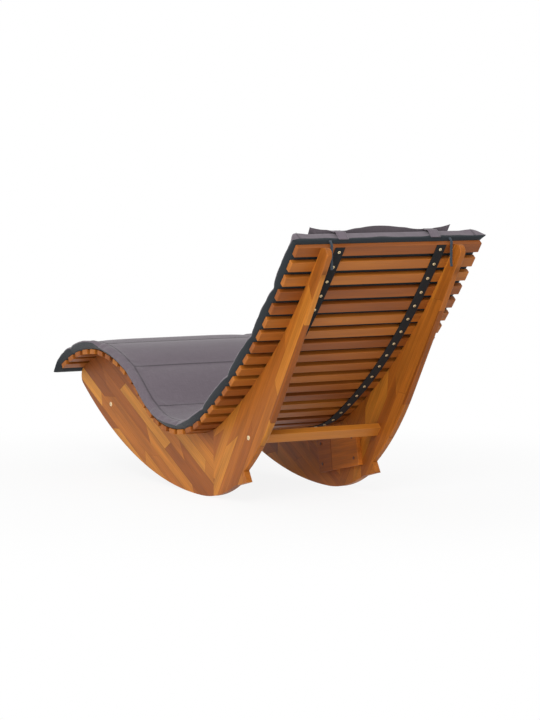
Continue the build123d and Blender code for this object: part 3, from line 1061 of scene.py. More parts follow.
def aimed_points(name: str, spots: Aimed) -> Mesh:
    """Mesh of loose points, each with a direction.

    Args:
        name: The mesh's name.
        spots: Place and direction of each point.

    Returns:
        A mesh whose points have the attribute "aim".
    """
    mesh = bpy.data.meshes.new(name)
    mesh.from_pydata([place for place, _ in spots], [], [])
    aim = mesh.attributes.new("aim", "FLOAT_VECTOR", "POINT")
    for item, (_, way) in zip(aim.data, spots):
        item.vector = way
    return mesh


def cloth_mesh(name: str, points: list[Vector], faces: list[list[int]], flat: Profile) -> Mesh:
    """Smooth mesh of cloth.

    Args:
        name: The mesh's name.
        points: Its points.
        faces: Its faces.
        flat: Where each point is in the flat cloth.

    Returns:
        A mesh with the flat places as its UV map.
    """
    mesh = bpy.data.meshes.new(name)
    mesh.from_pydata(points, [], faces)
    layer = mesh.uv_layers.new(name="cloth")
    for loop in mesh.loops:
        layer.data[loop.index].uv = flat[loop.vertex_index]
    mesh.shade_smooth()
    return mesh


@dataclass(frozen=True)
class Filling:
    """How a cover is filled.

    Args:
        pressure: Pressure of the filling.
        slack: How much larger the cloth is than the sheets.
        cap: The most that a point may move, in metres.
        moments: Number of steps of the simulation.
        quality: Parts of a step.
        mass: Mass of a point of the cloth.
        tension: How hard the cloth is to stretch.
        compression: How hard the cloth is to press together.
        bending: How hard the cloth is to bend.
    """

    pressure: float
    slack: float
    cap: float
    moments: int = 20
    quality: int = 5
    mass: float = 0.15
    tension: float = 15.0
    compression: float = 5.0
    bending: float = 0.08


class Quilt:
    """Two sheets of cloth sewn together at their edge, and filled."""

    def __init__(self, name: str, rows: int, columns: int) -> None:
        """Starts an empty pair of sheets.

        Args:
            name: The piece's name.
            rows: Number of rows of points.
            columns: Number of points in a row.
        """
        self.name = name
        self.rows = rows
        self.columns = columns
        self.points: list[Vector] = []
        self.flat: Profile = []
        self.held: list[bool] = []
        self.top: dict[Spot, int] = {}
        self.low: dict[Spot, int] = {}

    def lay(self, spot: Spot, flat: Pair, high: Vector, low: Vector, sewn: bool = False) -> None:
        """Lays a point of each sheet, or one for both at the edge, where they are sewn together.

        Args:
            spot: Row and column.
            flat: Where the point is in the flat cloth.
            high: Where it is in the upper sheet.
            low: Where it is in the lower sheet.
            sewn: True if filling can't move it in the upper sheet.
        """
        row, column = spot
        edge = row in (0, self.rows - 1) or column in (0, self.columns - 1)
        self._add(self.top, spot, flat, high, edge or sewn)
        if not edge:
            self._add(self.low, spot, flat, low, True)

    def _add(self, sheet: dict, spot: Spot, flat: Pair, place: Vector, held: bool) -> None:
        """Adds one point to a sheet.

        Args:
            sheet: The sheet's table of points.
            spot: Row and column.
            flat: Where the point is in the flat cloth.
            place: Where it is.
            held: True if filling can't move it.
        """
        sheet[spot] = len(self.points)
        self.points.append(place)
        self.flat.append(flat)
        self.held.append(held)

    def mesh(self) -> Mesh:
        """Closed mesh of both sheets, with material 1 on the lower sheet."""
        upper: list[list[int]] = []
        lower: list[list[int]] = []
        for row in range(self.rows - 1):
            for column in range(self.columns - 1):
                here, there = (row, column), (row + 1, column + 1)
                beside, below = (row, column + 1), (row + 1, column)
                upper.append([self.top[spot] for spot in (here, beside, there, below)])
                lower.append([self.low.get(spot, self.top[spot]) for spot in (here, below, there, beside)])
        mesh = cloth_mesh(self.name, self.points, upper + lower, self.flat)
        for face in mesh.polygons:
            face.material_index = int(face.index >= len(upper))
        return mesh

    def fill(self, filling: Filling, top: Finish, underside: Finish) -> Piece:
        """Fills the sheets by a cloth simulation.

        Args:
            filling: How they are filled.
            top: Finish of the upper sheet.
            underside: Finish of the lower sheet.

        Returns:
            The filled piece, with one subdivision applied.
        """
        piece = plain_object(self.name, self.mesh())
        self._inflate(piece, filling)
        smooth = piece.modifiers.new("smooth", "SUBSURF")
        smooth.levels = 1
        smooth.render_levels = 1
        apply_modifiers(piece)
        piece.data.materials.append(top)
        piece.data.materials.append(underside)
        return piece

    def _inflate(self, piece: Piece, filling: Filling) -> None:
        """Runs the simulation on a piece.

        Args:
            piece: The piece.
            filling: How it is filled.
        """
        scene = bpy.context.scene
        pins = piece.vertex_groups.new(name="sewn")
        pins.add([index for index, held in enumerate(self.held) if held], 1.0, "REPLACE")
        modifier = piece.modifiers.new("filling", "CLOTH")
        cloth = modifier.settings
        cloth.vertex_group_mass = "sewn"
        cloth.quality = filling.quality
        cloth.mass = filling.mass
        cloth.tension_stiffness = filling.tension
        cloth.compression_stiffness = filling.compression
        cloth.bending_stiffness = filling.bending
        cloth.shrink_min = -filling.slack
        cloth.use_pressure = True
        cloth.uniform_pressure_force = filling.pressure
        cloth.effector_weights.gravity = 0.0
        modifier.collision_settings.use_collision = False
        modifier.point_cache.frame_start = 1
        modifier.point_cache.frame_end = filling.moments
        for moment in range(1, filling.moments + 1):
            scene.frame_set(moment)
        swollen = evaluated_mesh(piece)
        piece.modifiers.clear()
        for vertex, moved in zip(piece.data.vertices, swollen.vertices):
            step = moved.co - vertex.co
            if step.length > filling.cap:
                step *= filling.cap / step.length
            vertex.co = vertex.co + step
        bpy.data.meshes.remove(swollen)
        scene.frame_set(1)


@dataclass(frozen=True)
class PadSection:
    """One row of the pad, in metres.

    Args:
        half: Half its width.
        seam: Height of the side seam.
        groove: Height of the border stitch.
        crown: Height of the middle.
        top_end: Rounding of the upper sheet's ends, from 0 at the end to 1.
        low_end: Rounding of the lower sheet's ends, from 0 at the end to 1.
        at_head: Nearness to the head, from 0 to 1 at the end.
    """

    half: float
    seam: float
    groove: float
    crown: float
    top_end: float
    low_end: float
    at_head: float


@dataclass
class Pad:
    """Long stitched pad on the slats, in metres.

    Distances run from the first slat's head edge to the foot. The edge heights are distances with
    the height of the side seam there, and the stitch share is how much of it is left at a cross
    stitch. The ripples are height, turn in a metre and start of each wave in the head seam. The
    roundings are lengths at the head and at the foot. The head and foot rows are distances from
    the ends. The stitch is its pitch, its length and the thread's thickness.
    """

    bed: Bed
    half_width: float = 0.306
    panel_bulge: float = 0.006
    corner_flare: float = 0.006
    panel: float = 0.190
    first_stitch: float = 0.170
    full: float = 0.032
    at_stitch: float = 0.022
    edge_heights: Sequence[Pair] = (
        (0.0, 0.018), (0.95, 0.018), (1.10, 0.010), (1.47, 0.010), (1.55, 0.030), (1.90, 0.030),
    )
    stitch_share: float = 0.55
    seam_limit: float = 0.97
    head_seam: float = 0.008
    head_ear: float = 0.014
    head_thickness: float = 0.046
    head_ripples: Sequence[tuple[float, float, float]] = ((0.0022, 31.0, 0.6), (0.0014, 73.0, 0.0))
    foot_thickness: float = 0.009
    foot_flatness: float = 0.6
    underside_inset: float = 0.012
    border: float = 0.028
    border_drop: float = 0.007
    border_power: float = 1.6
    border_puff: float = 0.004
    crown_power: int = 6
    stitch_drop: float = 0.001
    head_overhang: float = 0.011
    head_taper: float = 0.030
    foot_overhang: float = 0.047
    foot_slope: float = 47.0
    foot_turn: float = 0.4
    foot_taper: float = 0.110
    top_rounding: Pair = (0.004, 0.030)
    low_rounding: Pair = (0.010, 0.014)
    head_rows: Sequence[float] = (0.001, 0.0025, 0.005, 0.0085)
    foot_rows: Sequence[float] = (0.002, 0.006, 0.012)
    row_step: float = 0.0095
    least_step: float = 0.0008
    middle_columns: int = 46
    border_columns: int = 4
    clearance: float = 0.0006
    filling: Filling = Filling(pressure=3.0, slack=0.02, cap=0.005)
    tightness: float = 0.7
    stitch: tuple[float, float, float] = (0.0052, 0.0038, 0.0014)
    thread_lift: float = 0.0003
    unsewn_rows: int = 2

    @property
    def tail(self) -> float:
        """Distance of the pad's foot end."""
        return self.bed.run + self.foot_overhang

    @property
    def flat_inner(self) -> float:
        """Distance of the border stitch from the middle of the flat cloth."""
        return self.half_width - self.border

    def stitches(self) -> list[float]:
        """Distances of the cross stitches."""
        last = (self.bed.slat_count - 2) * self.bed.slat_pitch
        count = int((last - self.first_stitch) / self.panel) + 1
        return [self.first_stitch + self.panel * step for step in range(count)]

    def rows(self) -> list[float]:
        """Distances of the rows of points, with one on each stitch line and slat edge."""
        bed = self.bed
        starts = [index * bed.slat_pitch for index in range(bed.slat_count)]
        marks = {-self.head_overhang, self.tail, *self.stitches(), *starts}
        marks |= {start + bed.slat_width for start in starts}
        marks |= {step - self.head_overhang for step in self.head_rows}
        marks |= {self.tail - step for step in self.foot_rows}
        ordered = sorted(marks)
        kept = [ordered[0]]
        for mark in ordered[1:]:
            if mark - kept[-1] > self.least_step:
                kept.append(mark)
        rows = [kept[0]]
        for before, after in zip(kept, kept[1:]):
            steps = max(1, round((after - before) / self.row_step))
            rows.extend(before + (after - before) * step / steps for step in range(1, steps + 1))
        return rows

    def base(self, distance: float) -> tuple[Vector, Vector]:
        """Point of the pad's underside.

        Args:
            distance: Distance from the first slat's head edge.

        Returns:
            The point and the upward direction.
        """
        bed = self.bed
        lift = bed.slat_thickness + self.clearance
        last = bed.slat_count - 1
        if distance >= bed.run:
            slope = radians(self.foot_slope)
            way = Vector((0.0, -cos(slope), -sin(slope)))
            share = min(1.0, (distance - bed.run) / (self.foot_turn * self.foot_overhang))
            up = bed.seats[last].up.lerp(Vector((0.0, -sin(slope), cos(slope))), share)
            start = bed.past_edge(last, -bed.slat_width, lift)
            return start + way * (distance - bed.run), up.normalized()
        index = max(0, min(int(distance // bed.slat_pitch), last))
        past = distance - index * bed.slat_pitch
        seat = bed.seats[index]
        if past <= bed.slat_width:
            up = seat.up if index in (0, last) else bed.point(distance)[1]
            return bed.past_edge(index, -past, lift), up
        share = (past - bed.slat_width) / (bed.slat_pitch - bed.slat_width)
        leave = bed.past_edge(index, -bed.slat_width, lift)
        reach = bed.past_edge(index + 1, 0.0, lift)
        return leave.lerp(reach, share), seat.up.lerp(bed.seats[index + 1].up, share).normalized()

    def fullness(self, distance: float) -> float:
        """How full the pad is between two stitch lines, from 0 to 1."""
        lines = [-self.head_overhang, *self.stitches(), self.tail]
        before = max(line for line in lines[:-1] if line <= distance + SAME_PLACE)
        after = lines[lines.index(before) + 1]
        return sqrt(max(0.0, sin(pi * (distance - before) / (after - before))))

    def section(self, distance: float) -> PadSection:
        """Heights across the pad at a distance."""
        full = self.fullness(distance)
        from_head = distance + self.head_overhang
        from_foot = self.tail - distance
        near_head = max(0.0, 1.0 - from_head / self.head_taper)
        near_foot = max(0.0, 1.0 - from_foot / self.foot_taper)
        half = self.half_width + self.panel_bulge * full
        half += self.corner_flare * max(near_head, near_foot) ** 2
        thin = self.at_stitch
        thin -= (self.at_stitch - self.head_thickness) * near_head ** 2
        thin -= (self.at_stitch - self.foot_thickness) * near_foot
        crown = thin + (self.full - self.at_stitch) * full * (1.0 - self.foot_flatness * near_foot)
        groove = crown - self.stitch_drop - (self.border_drop - self.stitch_drop) * full
        seam = self.edge_height(distance) * (self.stitch_share + (1.0 - self.stitch_share) * full)
        seam += (self.head_seam - seam) * near_head
        seam = min(seam, groove * self.seam_limit)
        top_end, low_end = (
            rounded(from_head / head) * rounded(from_foot / foot)
            for head, foot in (self.top_rounding, self.low_rounding)
        )
        return PadSection(half, seam, groove, crown, top_end, low_end, near_head)

    def edge_height(self, distance: float) -> float:
        """Height of the side seam in the middle of a panel, low on the thigh and high on the crest."""
        for (start, low), (end, high) in zip(self.edge_heights, self.edge_heights[1:]):
            if distance <= end:
                return low + (high - low) * max(0.0, (distance - start) / (end - start))
        return self.edge_heights[-1][1]

    def across(self, inner: float, share: float, border: float) -> float:
        """Place across the pad.

        Args:
            inner: Distance of the border stitch from the middle.
            share: Share of the middle part, from -1 to 1.
            border: Share of the border, from 0 to 1.

        Returns:
            The distance from the middle.
        """
        edge = border * self.border
        return share * inner + (edge if share > 0 else -edge)

    def spots(self) -> Profile:
        """Columns: share of the middle part from -1 to 1, and share of the border from 0 to 1."""
        edge = [step / self.border_columns for step in range(self.border_columns, 0, -1)]
        middle = [2.0 * step / self.middle_columns - 1.0 for step in range(self.middle_columns + 1)]
        left = [(-1.0, share) for share in edge]
        right = [(1.0, share) for share in reversed(edge)]
        return left + [(share, 0.0) for share in middle] + right

    def heights(self, part: PadSection, share: float, border: float) -> tuple[float, float, float]:
        """Place of a point across the pad.

        Args:
            part: The row's heights.
            share: Share of the middle part.
            border: Share of the border.

        Returns:
            Its X, and the heights of the upper and the lower sheet.
        """
        x = self.across(part.half - self.border, share, border)
        ripple = sum(height * sin(turn * x + start) for height, turn, start in self.head_ripples)
        seam = part.seam + part.at_head * ripple
        if border > 0.0:
            drop = (part.groove - seam) * (1.0 - border ** self.border_power)
            top = seam + drop + self.border_puff * sin(pi * border) * part.top_end
        else:
            top = part.groove + (part.crown - part.groove) * (1.0 - abs(share) ** self.crown_power)
        top = seam + (top - seam) * part.top_end
        outside = max(0.0, 1.0 - (part.half - abs(x)) / self.underside_inset)
        low = seam * max(outside, 1.0 - part.low_end)
        if share < 0.0:
            x -= self.head_ear * border * part.at_head ** 2
        return x, top, low

    def finish(self) -> QuiltFinish:
        """Finish of the upper sheet, with painted shade where this pad is sewn."""
        return QuiltFinish(
            "pad_mauve_weave", MAUVE, border=self.flat_inner, first=self.first_stitch, panel=self.panel,
        )

    def build(self, thread: Finish) -> None:
        """Makes the pad and its stitches.

        Args:
            thread: Finish of the stitches.
        """
        distances = self.rows()
        spots = self.spots()
        stitches = self.stitches()
        left = self.border_columns
        right = left + self.middle_columns
        sewn_rows = [
            row for row, distance in enumerate(distances)
            if min(abs(distance - stitch) for stitch in stitches) < SAME_PLACE
        ]
        quilt = Quilt("lounger_pad", len(distances), len(spots))
        lifts = []
        for row, distance in enumerate(distances):
            part = self.section(distance)
            base, up = self.base(distance)
            lifts.append(up * self.thread_lift)
            for column, (share, border) in enumerate(spots):
                x, high, low = self.heights(part, share, border)
                place = base + Vector((x, 0.0, 0.0))
                flat = (self.across(self.flat_inner, share, border), distance)
                sewn = column in (left, right) or (row in sewn_rows and left <= column <= right)
                quilt.lay((row, column), flat, place + up * high, place + up * low, sewn)
        pad = quilt.fill(self.filling, self.finish().material(), PAD_UNDERSIDE.material())
        fix(pad, "lounger", "pad_fabric", "cushion_pad")
        ends = range(self.unsewn_rows, len(distances) - self.unsewn_rows)
        lines = [[(row, column) for column in range(left, right + 1)] for row in sewn_rows]
        lines += [[(row, column) for row in ends] for column in (left, right)]
        shape = pad.data.vertices
        sewing = [[shape[quilt.top[spot]].co + lifts[spot[0]] for spot in line] for line in lines]
        tree = stitch_row(*self.stitch)
        fix(tree.build("pad_stitches", line_mesh("pad_lines", sewing), thread), "lounger", "pad_fabric")


@dataclass
class Pillow:
    """Head pillow on the pad, drawn in between its corners, in metres.

    The insets are the width of the underside's rounding at the corners, how much it grows to the
    middle, and its width at the short sides. The crown powers are along and across the pillow.
    """

    bed: Bed
    width: float = 0.460
    height: float = 0.240
    thickness: float = 0.062
    end_thickness: float = 0.022
    seam_height: float = 0.022
    head_middle: float = 0.038
    head_strap: float = 0.016
    head_corner: float = 0.027
    corner_power: float = 1.5
    strap_share: float = 0.65
    drawn_in: float = 0.010
    side_drawn_in: float = 0.008
    crown_powers: Pair = (0.6, 8)
    insets: tuple[float, float, float] = (0.004, 0.026, 0.02)
    from_top: float = -0.008
    lift: float = 0.05295
    columns: int = 49
    rows: int = 27
    filling: Filling = Filling(pressure=2.0, slack=0.03, cap=0.006)
    tightness: float = 0.75

    def frame(self) -> tuple[Vector, Vector, Vector]:
        """Where the pillow lies.

        Returns:
            Its head edge's place on the pad, the way down the back, and the way off the pad.
        """
        bed = self.bed
        index = round((self.from_top + self.height / 2 - bed.slat_width / 2) / bed.slat_pitch)
        seat = bed.seats[index]
        along = (bed.past_edge(0, 0.0, 0.0) - seat.middle).dot(seat.to_head) - self.from_top
        start = seat.middle + seat.to_head * along + seat.up * self.lift
        return start, -seat.to_head, seat.up

    def shape(self, across: float, down: float) -> tuple[float, float, float, float]:
        """Place of a point of the pillow.

        Args:
            across: Share of the half width, from -1 to 1.
            down: Share of the half height, from -1 at the head to 1.

        Returns:
            Its X, its distance from the head edge, and the heights of the two sheets.
        """
        swell = sqrt(max(0.0, 1.0 - across ** 2))
        half = self.height / 2 - self.drawn_in * swell
        reach = self.width / 2 - self.side_drawn_in * (1.0 - down ** 2)
        toward_head = ((1.0 - down) / 2) ** 2
        seam = self.seam_height + (self.head_line(abs(across)) - self.seam_height) * toward_head
        high = self.end_thickness + (self.thickness - self.end_thickness) * swell
        along_power, across_power = self.crown_powers
        crown = (1.0 - down ** 2) ** along_power * (1.0 - abs(across) ** across_power)
        corner, growth, side = self.insets
        from_edge = (1.0 - abs(down)) * half / (corner + growth * swell)
        from_side = (1.0 - abs(across)) * reach / side
        rise = max(0.0, 1.0 - from_edge, 1.0 - from_side)
        return across * reach, self.height / 2 + down * half, seam + (high - seam) * crown, seam * rise

    def head_line(self, aside: float) -> float:
        """Height of the head seam: it stands up at the corners, dips at the straps and swells between them.

        Args:
            aside: Share of the half width, from 0 to 1.

        Returns:
            The height over the pillow's underside.
        """
        if aside < self.strap_share:
            bend = cos(pi * aside / self.strap_share) * 0.5 + 0.5
            return self.head_strap + (self.head_middle - self.head_strap) * bend
        past = (aside - self.strap_share) / (1.0 - self.strap_share)
        return self.head_strap + (self.head_corner - self.head_strap) * past ** self.corner_power

    def head_seam(self, across: float) -> Vector:
        """Point of the head seam at a distance from the middle."""
        start, down, off = self.frame()
        _, along, seam, _ = self.shape(across / (self.width / 2), -1.0)
        return start + down * along + off * seam + Vector((across, 0.0, 0.0))

    @staticmethod
    def spread(step: int, count: int) -> float:
        """Share from -1 to 1 of a row or column, closer together at the edges."""
        return sin(pi / 2 * (2.0 * step / (count - 1) - 1.0))

    def build(self, cover: Finish) -> None:
        """Makes the pillow.

        Args:
            cover: Finish of the upper sheet.
        """
        start, way, off = self.frame()
        quilt = Quilt("pillow_cover", self.rows, self.columns)
        for row in range(self.rows):
            down = self.spread(row, self.rows)
            for column in range(self.columns):
                x, along, high, low = self.shape(self.spread(column, self.columns), down)
                place = start + way * along + Vector((x, 0.0, 0.0))
                quilt.lay((row, column), (x, along), place + off * high, place + off * low)
        # The lower sheet gets the darker mauve of painted shade.
        pillow = quilt.fill(self.filling, cover, PILLOW_BACK_PAINTED_SHADE.material())
        fix(pillow, "pillow", "pillow_fabric", "head_pillow")


@dataclass(frozen=True)
class Ribbon:
    """Flat woven band.

    Args:
        width: Its width, in metres.
        thickness: Its thickness, in metres.
        ease: Width of its rounded edge, as a share of its thickness.
    """

    width: float
    thickness: float
    ease: float = 0.6

    def section(self) -> Profile:
        """Outline across the band: place across and off its middle."""
        half, thick = self.width / 2, self.thickness / 2
        inner = half - self.thickness * self.ease
        near = [(-half, -thick / 2), (-inner, -thick), (0.0, -thick), (inner, -thick), (half, -thick / 2)]
        return near + [(-across, -off) for across, off in near]

    def path(self, marks: Sequence[Vector], steps: int) -> list[Vector]:
        """Smooth line through marks.

        Args:
            marks: Points to pass through.
            steps: Number of points for each stretch.

        Returns:
            Points of the line.
        """
        ends = [marks[0] * 2 - marks[1], *marks, marks[-1] * 2 - marks[-2]]
        line = []
        for first, second, third, fourth in zip(ends, ends[1:], ends[2:], ends[3:]):
            slope_a, slope_b = (third - first) / 2, (fourth - second) / 2
            for step in range(steps):
                t = step / steps
                line.append(
                    second * (2 * t ** 3 - 3 * t ** 2 + 1) + slope_a * (t ** 3 - 2 * t ** 2 + t)
                    + third * (3 * t ** 2 - 2 * t ** 3) + slope_b * (t ** 3 - t ** 2)
                )
        return [*line, marks[-1]]

    @staticmethod
    def off(line: Sequence[Vector], step: int) -> Vector:
        """Direction off the band at a point of its middle line."""
        way = (line[min(step + 1, len(line) - 1)] - line[max(step - 1, 0)]).normalized()
        return Vector((0.0, -way.z, way.y))

    def face(self, line: Sequence[Vector]) -> list[Vector]:
        """Middle line of the band's outer face."""
        half = self.thickness / 2
        return [spot - self.off(line, step) * half for step, spot in enumerate(line)]

    def build(self, name: str, lines: Sequence[Sequence[Vector]], cloth: Finish) -> Piece:
        """Makes closed bands along lines.

        Args:
            name: The piece's name.
            lines: Middle line of each band, in a plane across X.
            cloth: The bands' finish.

        Returns:
            One piece with all the bands.
        """
        points: list[Vector] = []
        faces: list[list[int]] = []
        flat: Profile = []
        section = self.section()
        count = len(section)
        for line in lines:
            first = len(points)
            run = 0.0
            for step, spot in enumerate(line):
                run += (spot - line[max(step - 1, 0)]).length
                off = self.off(line, step)
                points += [spot + Vector((across, 0.0, 0.0)) + off * height for across, height in section]
                flat += [(across, run) for across, _ in section]
            for step in range(len(line) - 1):
                here, there = first + step * count, first + (step + 1) * count
                for corner in range(count):
                    turn = (corner + 1) % count
                    faces.append([here + corner, there + corner, there + turn, here + turn])
            last = first + (len(line) - 1) * count
            faces.append([first + corner for corner in range(count)])
            faces.append([last + corner for corner in reversed(range(count))])
        bands = plain_object(name, cloth_mesh(name, points, faces, flat))
        bands.data.materials.append(cloth)
        return bands


@dataclass
class HeadStraps:
    """Two straps that join the pillow to the pad's head edge, in metres.

    The marks on the pad are distances past its head edge with heights over the slat. The bend height and
    bend share, for a bend from the pad towards the pillow, are not used. The stitch is its pitch, its
    length and the thread's thickness.
    """

    pad: Pad
    pillow: Pillow
    spacing: float = 0.300
    band: Ribbon = Ribbon(width=0.032, thickness=0.0024)
    pad_marks: Sequence[Pair] = ((0.0015, 0.003), (0.0022, 0.010))
    sag: float = 0.0015
    seam_gap: float = 0.0006
    steps: int = 5
    bend_height: float = 0.012
    bend_share: float = 0.3
    stitch: tuple[float, float, float] = (0.0046, 0.0032, 0.0009)
    stitch_inset: float = 0.004

    def on_pad(self, past: float, high: float) -> Vector:
        """Point at a distance past the pad's head edge and a height over the top slat's upper face."""
        bed = self.pad.bed
        return bed.past_edge(0, self.pad.head_overhang + past, bed.slat_thickness + high)

    @staticmethod
    def hinge() -> Vector:
        """Line about which the pillow turns."""
        joint = next(item for item in frame["joints"] if item["name"] == "pillow_flip")
        return Vector(joint["pos_m"])

    def build(self, cloth: Finish, thread: Finish) -> None:
        """Makes the straps and their stitches.

        Args:
            cloth: The straps' finish.
            thread: The stitches' finish.
        """
        hinge = self.hinge()
        sewn = self.pillow.head_seam(self.spacing / 2)
        sewn.x = 0.0
        marks = [self.on_pad(*mark) for mark in self.pad_marks]
        marks += [hinge, hinge.lerp(sewn, 0.5) - Vector((0.0, 0.0, self.sag))]
        marks.append(sewn + (hinge - sewn).normalized() * self.seam_gap)
        inset = self.band.width / 2 - self.stitch_inset
        lines = []
        rows = []
        for side in Side:
            x = Vector((side.value * self.spacing / 2, 0.0, 0.0))
            line = self.band.path([mark + x for mark in marks], self.steps)
            lines.append(line)
            outer = self.band.face(line)
            rows += [[spot + Vector((aside, 0.0, 0.0)) for spot in outer] for aside in (-inset, inset)]
        straps = self.band.build("pillow_strap_bands", lines, cloth)
        tree = stitch_row(*self.stitch)
        stitches = tree.build("strap_stitches", line_mesh("strap_lines", rows), thread)
        before = self.on_pad(0.0, self.bend_height)
        for piece in (straps, stitches):
            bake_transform(piece)
            report(piece)
        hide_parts("pillow_straps", "strap_tabs")


@dataclass
class TieTapes:
    """Two short tapes that hang from the pad's head edge behind the top slat, in metres.

    The hang is distances behind the slat's head edge with heights over it, and the sway moves the
    tapes' lower part.
    """

    bed: Bed
    from_middle: float = 0.195
    band: Ribbon = Ribbon(width=0.008, thickness=0.0012)
    length: float = 0.062
    past_slat: float = 0.0100
    over_slat: float = 0.0162
    hang: Sequence[Pair] = ((0.0030, 0.006), (0.0021, -0.004), (0.0020, -0.024))
    swayed: Pair = (0.0019, -0.044)
    end_behind: float = 0.0021
    sway: float = 0.0012
    steps: int = 4

    def build(self) -> None:
        """Makes the tapes."""
        edge = self.bed.past_edge(0, 0.0, 0.0)
        top = self.bed.past_edge(0, self.past_slat, self.over_slat)
        lines = []
        for side in Side:
            x = Vector((side.value * self.from_middle, 0.0, 0.0))
            drops = [*self.hang, (self.swayed[0] + self.sway * side.value / 2, self.swayed[1])]
            drops.append((self.end_behind + self.sway, -self.length))
            marks = [top + x] + [edge + x + Vector((0.0, behind, drop)) for behind, drop in drops]
            lines.append(self.band.path(marks, self.steps))
        tapes = self.band.build("tie_tape_bands", lines, TAPE_WEAVE.material())
        fix(tapes, "lounger", "tie_tape", "cushion_ties")


@dataclass
class Woodwork:
    """Slats, side boards, gussets, rails and dowels: the solids stay and get their finish.

    The seeds and the brightness of the front boards are for the left and the right side; that brightness is
    painted light, darker on the left board that the key light falls on and lighter on the shaded right one.
    The gussets are painted lighter against their shade, and all slats painted darker so that their
    undersides read as shaded. Headings are those of the grain, in degrees, and picks are places in the
    range of acacia tones.
    """

    slat_count: int
    slat_picks: tuple[float, ...] = (0.30, 0.48, 0.36, 0.56, 0.20, 0.42)
    slat_half: float = 0.300
    # Painted shade: all slats are darker, so that their undersides read as shaded.
    slat_bright: float = 0.72
    seeds: tuple[int, int] = (11, 23)
    front_heading: float = -27.0
    # Painted light: the left front board is darker under the key light, the right one lighter against its
    # shade.
    front_bright: Pair = (0.87, 1.1)
    rear_heading: float = 56.0
    rear_seed: int = 4
    rear_bright: float = 0.88
    gusset_heading: float = 12.0
    gusset_seed: int = 8
    gusset_strip: float = 0.30
    gusset_block: float = 0.9
    # Painted light: the gussets are lighter to lift the shade they stand in.
    gusset_bright: float = 1.2
    rail_pick: float = 0.7
    rail_half: float = 0.208
    rail_bright: float = 0.8
    dowel_pick: float = 0.85
    dowel_half: float = 1.0

    def dress(self) -> None:
        """Gives each wooden node its finish."""
        self.slats()
        for side, seed, bright in zip(Side, self.seeds, self.front_bright):
            self.frame_side(side.word, seed, bright)
        rail = BarFinish("rail_acacia", self.rail_pick, self.rail_half, self.rail_bright).material()
        paint_node("rear_rail", rail)
        paint_node("front_rail", rail)
        paint_node("seam_dowels", BarFinish("dowel_beech", self.dowel_pick, self.dowel_half).material())
        LOG.info("woodwork dressed")

    def slats(self) -> None:
        """Gives the slats their tones, in an order that keeps like ones apart."""
        bars = [
            BarFinish(f"slat_acacia_{step}", pick, self.slat_half, self.slat_bright).material()
            for step, pick in enumerate(self.slat_picks)
        ]
        for number in range(1, self.slat_count + 1):
            order = number * (5 * number + 3) // 2 % len(bars)
            paint_node(f"slat_{number:02d}", bars[order])

    def frame_side(self, word: str, seed: int, bright: float) -> None:
        """Dresses one side frame.

        Args:
            word: The side's name.
            seed: Which set of blocks.
            bright: Factor on the front board's tones, which is painted light and shade for its side.
        """
        front = BoardFinish(f"{word}_front_acacia", self.front_heading, seed, bright=bright)
        rear_seed = seed + self.rear_seed
        rear = BoardFinish(f"{word}_rear_acacia", self.rear_heading, rear_seed, bright=self.rear_bright)
        plate = BoardFinish(
            f"{word}_gusset_acacia", self.gusset_heading, seed + self.gusset_seed,
            self.gusset_strip, self.gusset_block, self.gusset_bright,
        )
        paint_node(f"{word}_front_board", front.material())
        paint_node(f"{word}_rear_board", rear.material())
        paint_node(f"{word}_gusset", plate.material())


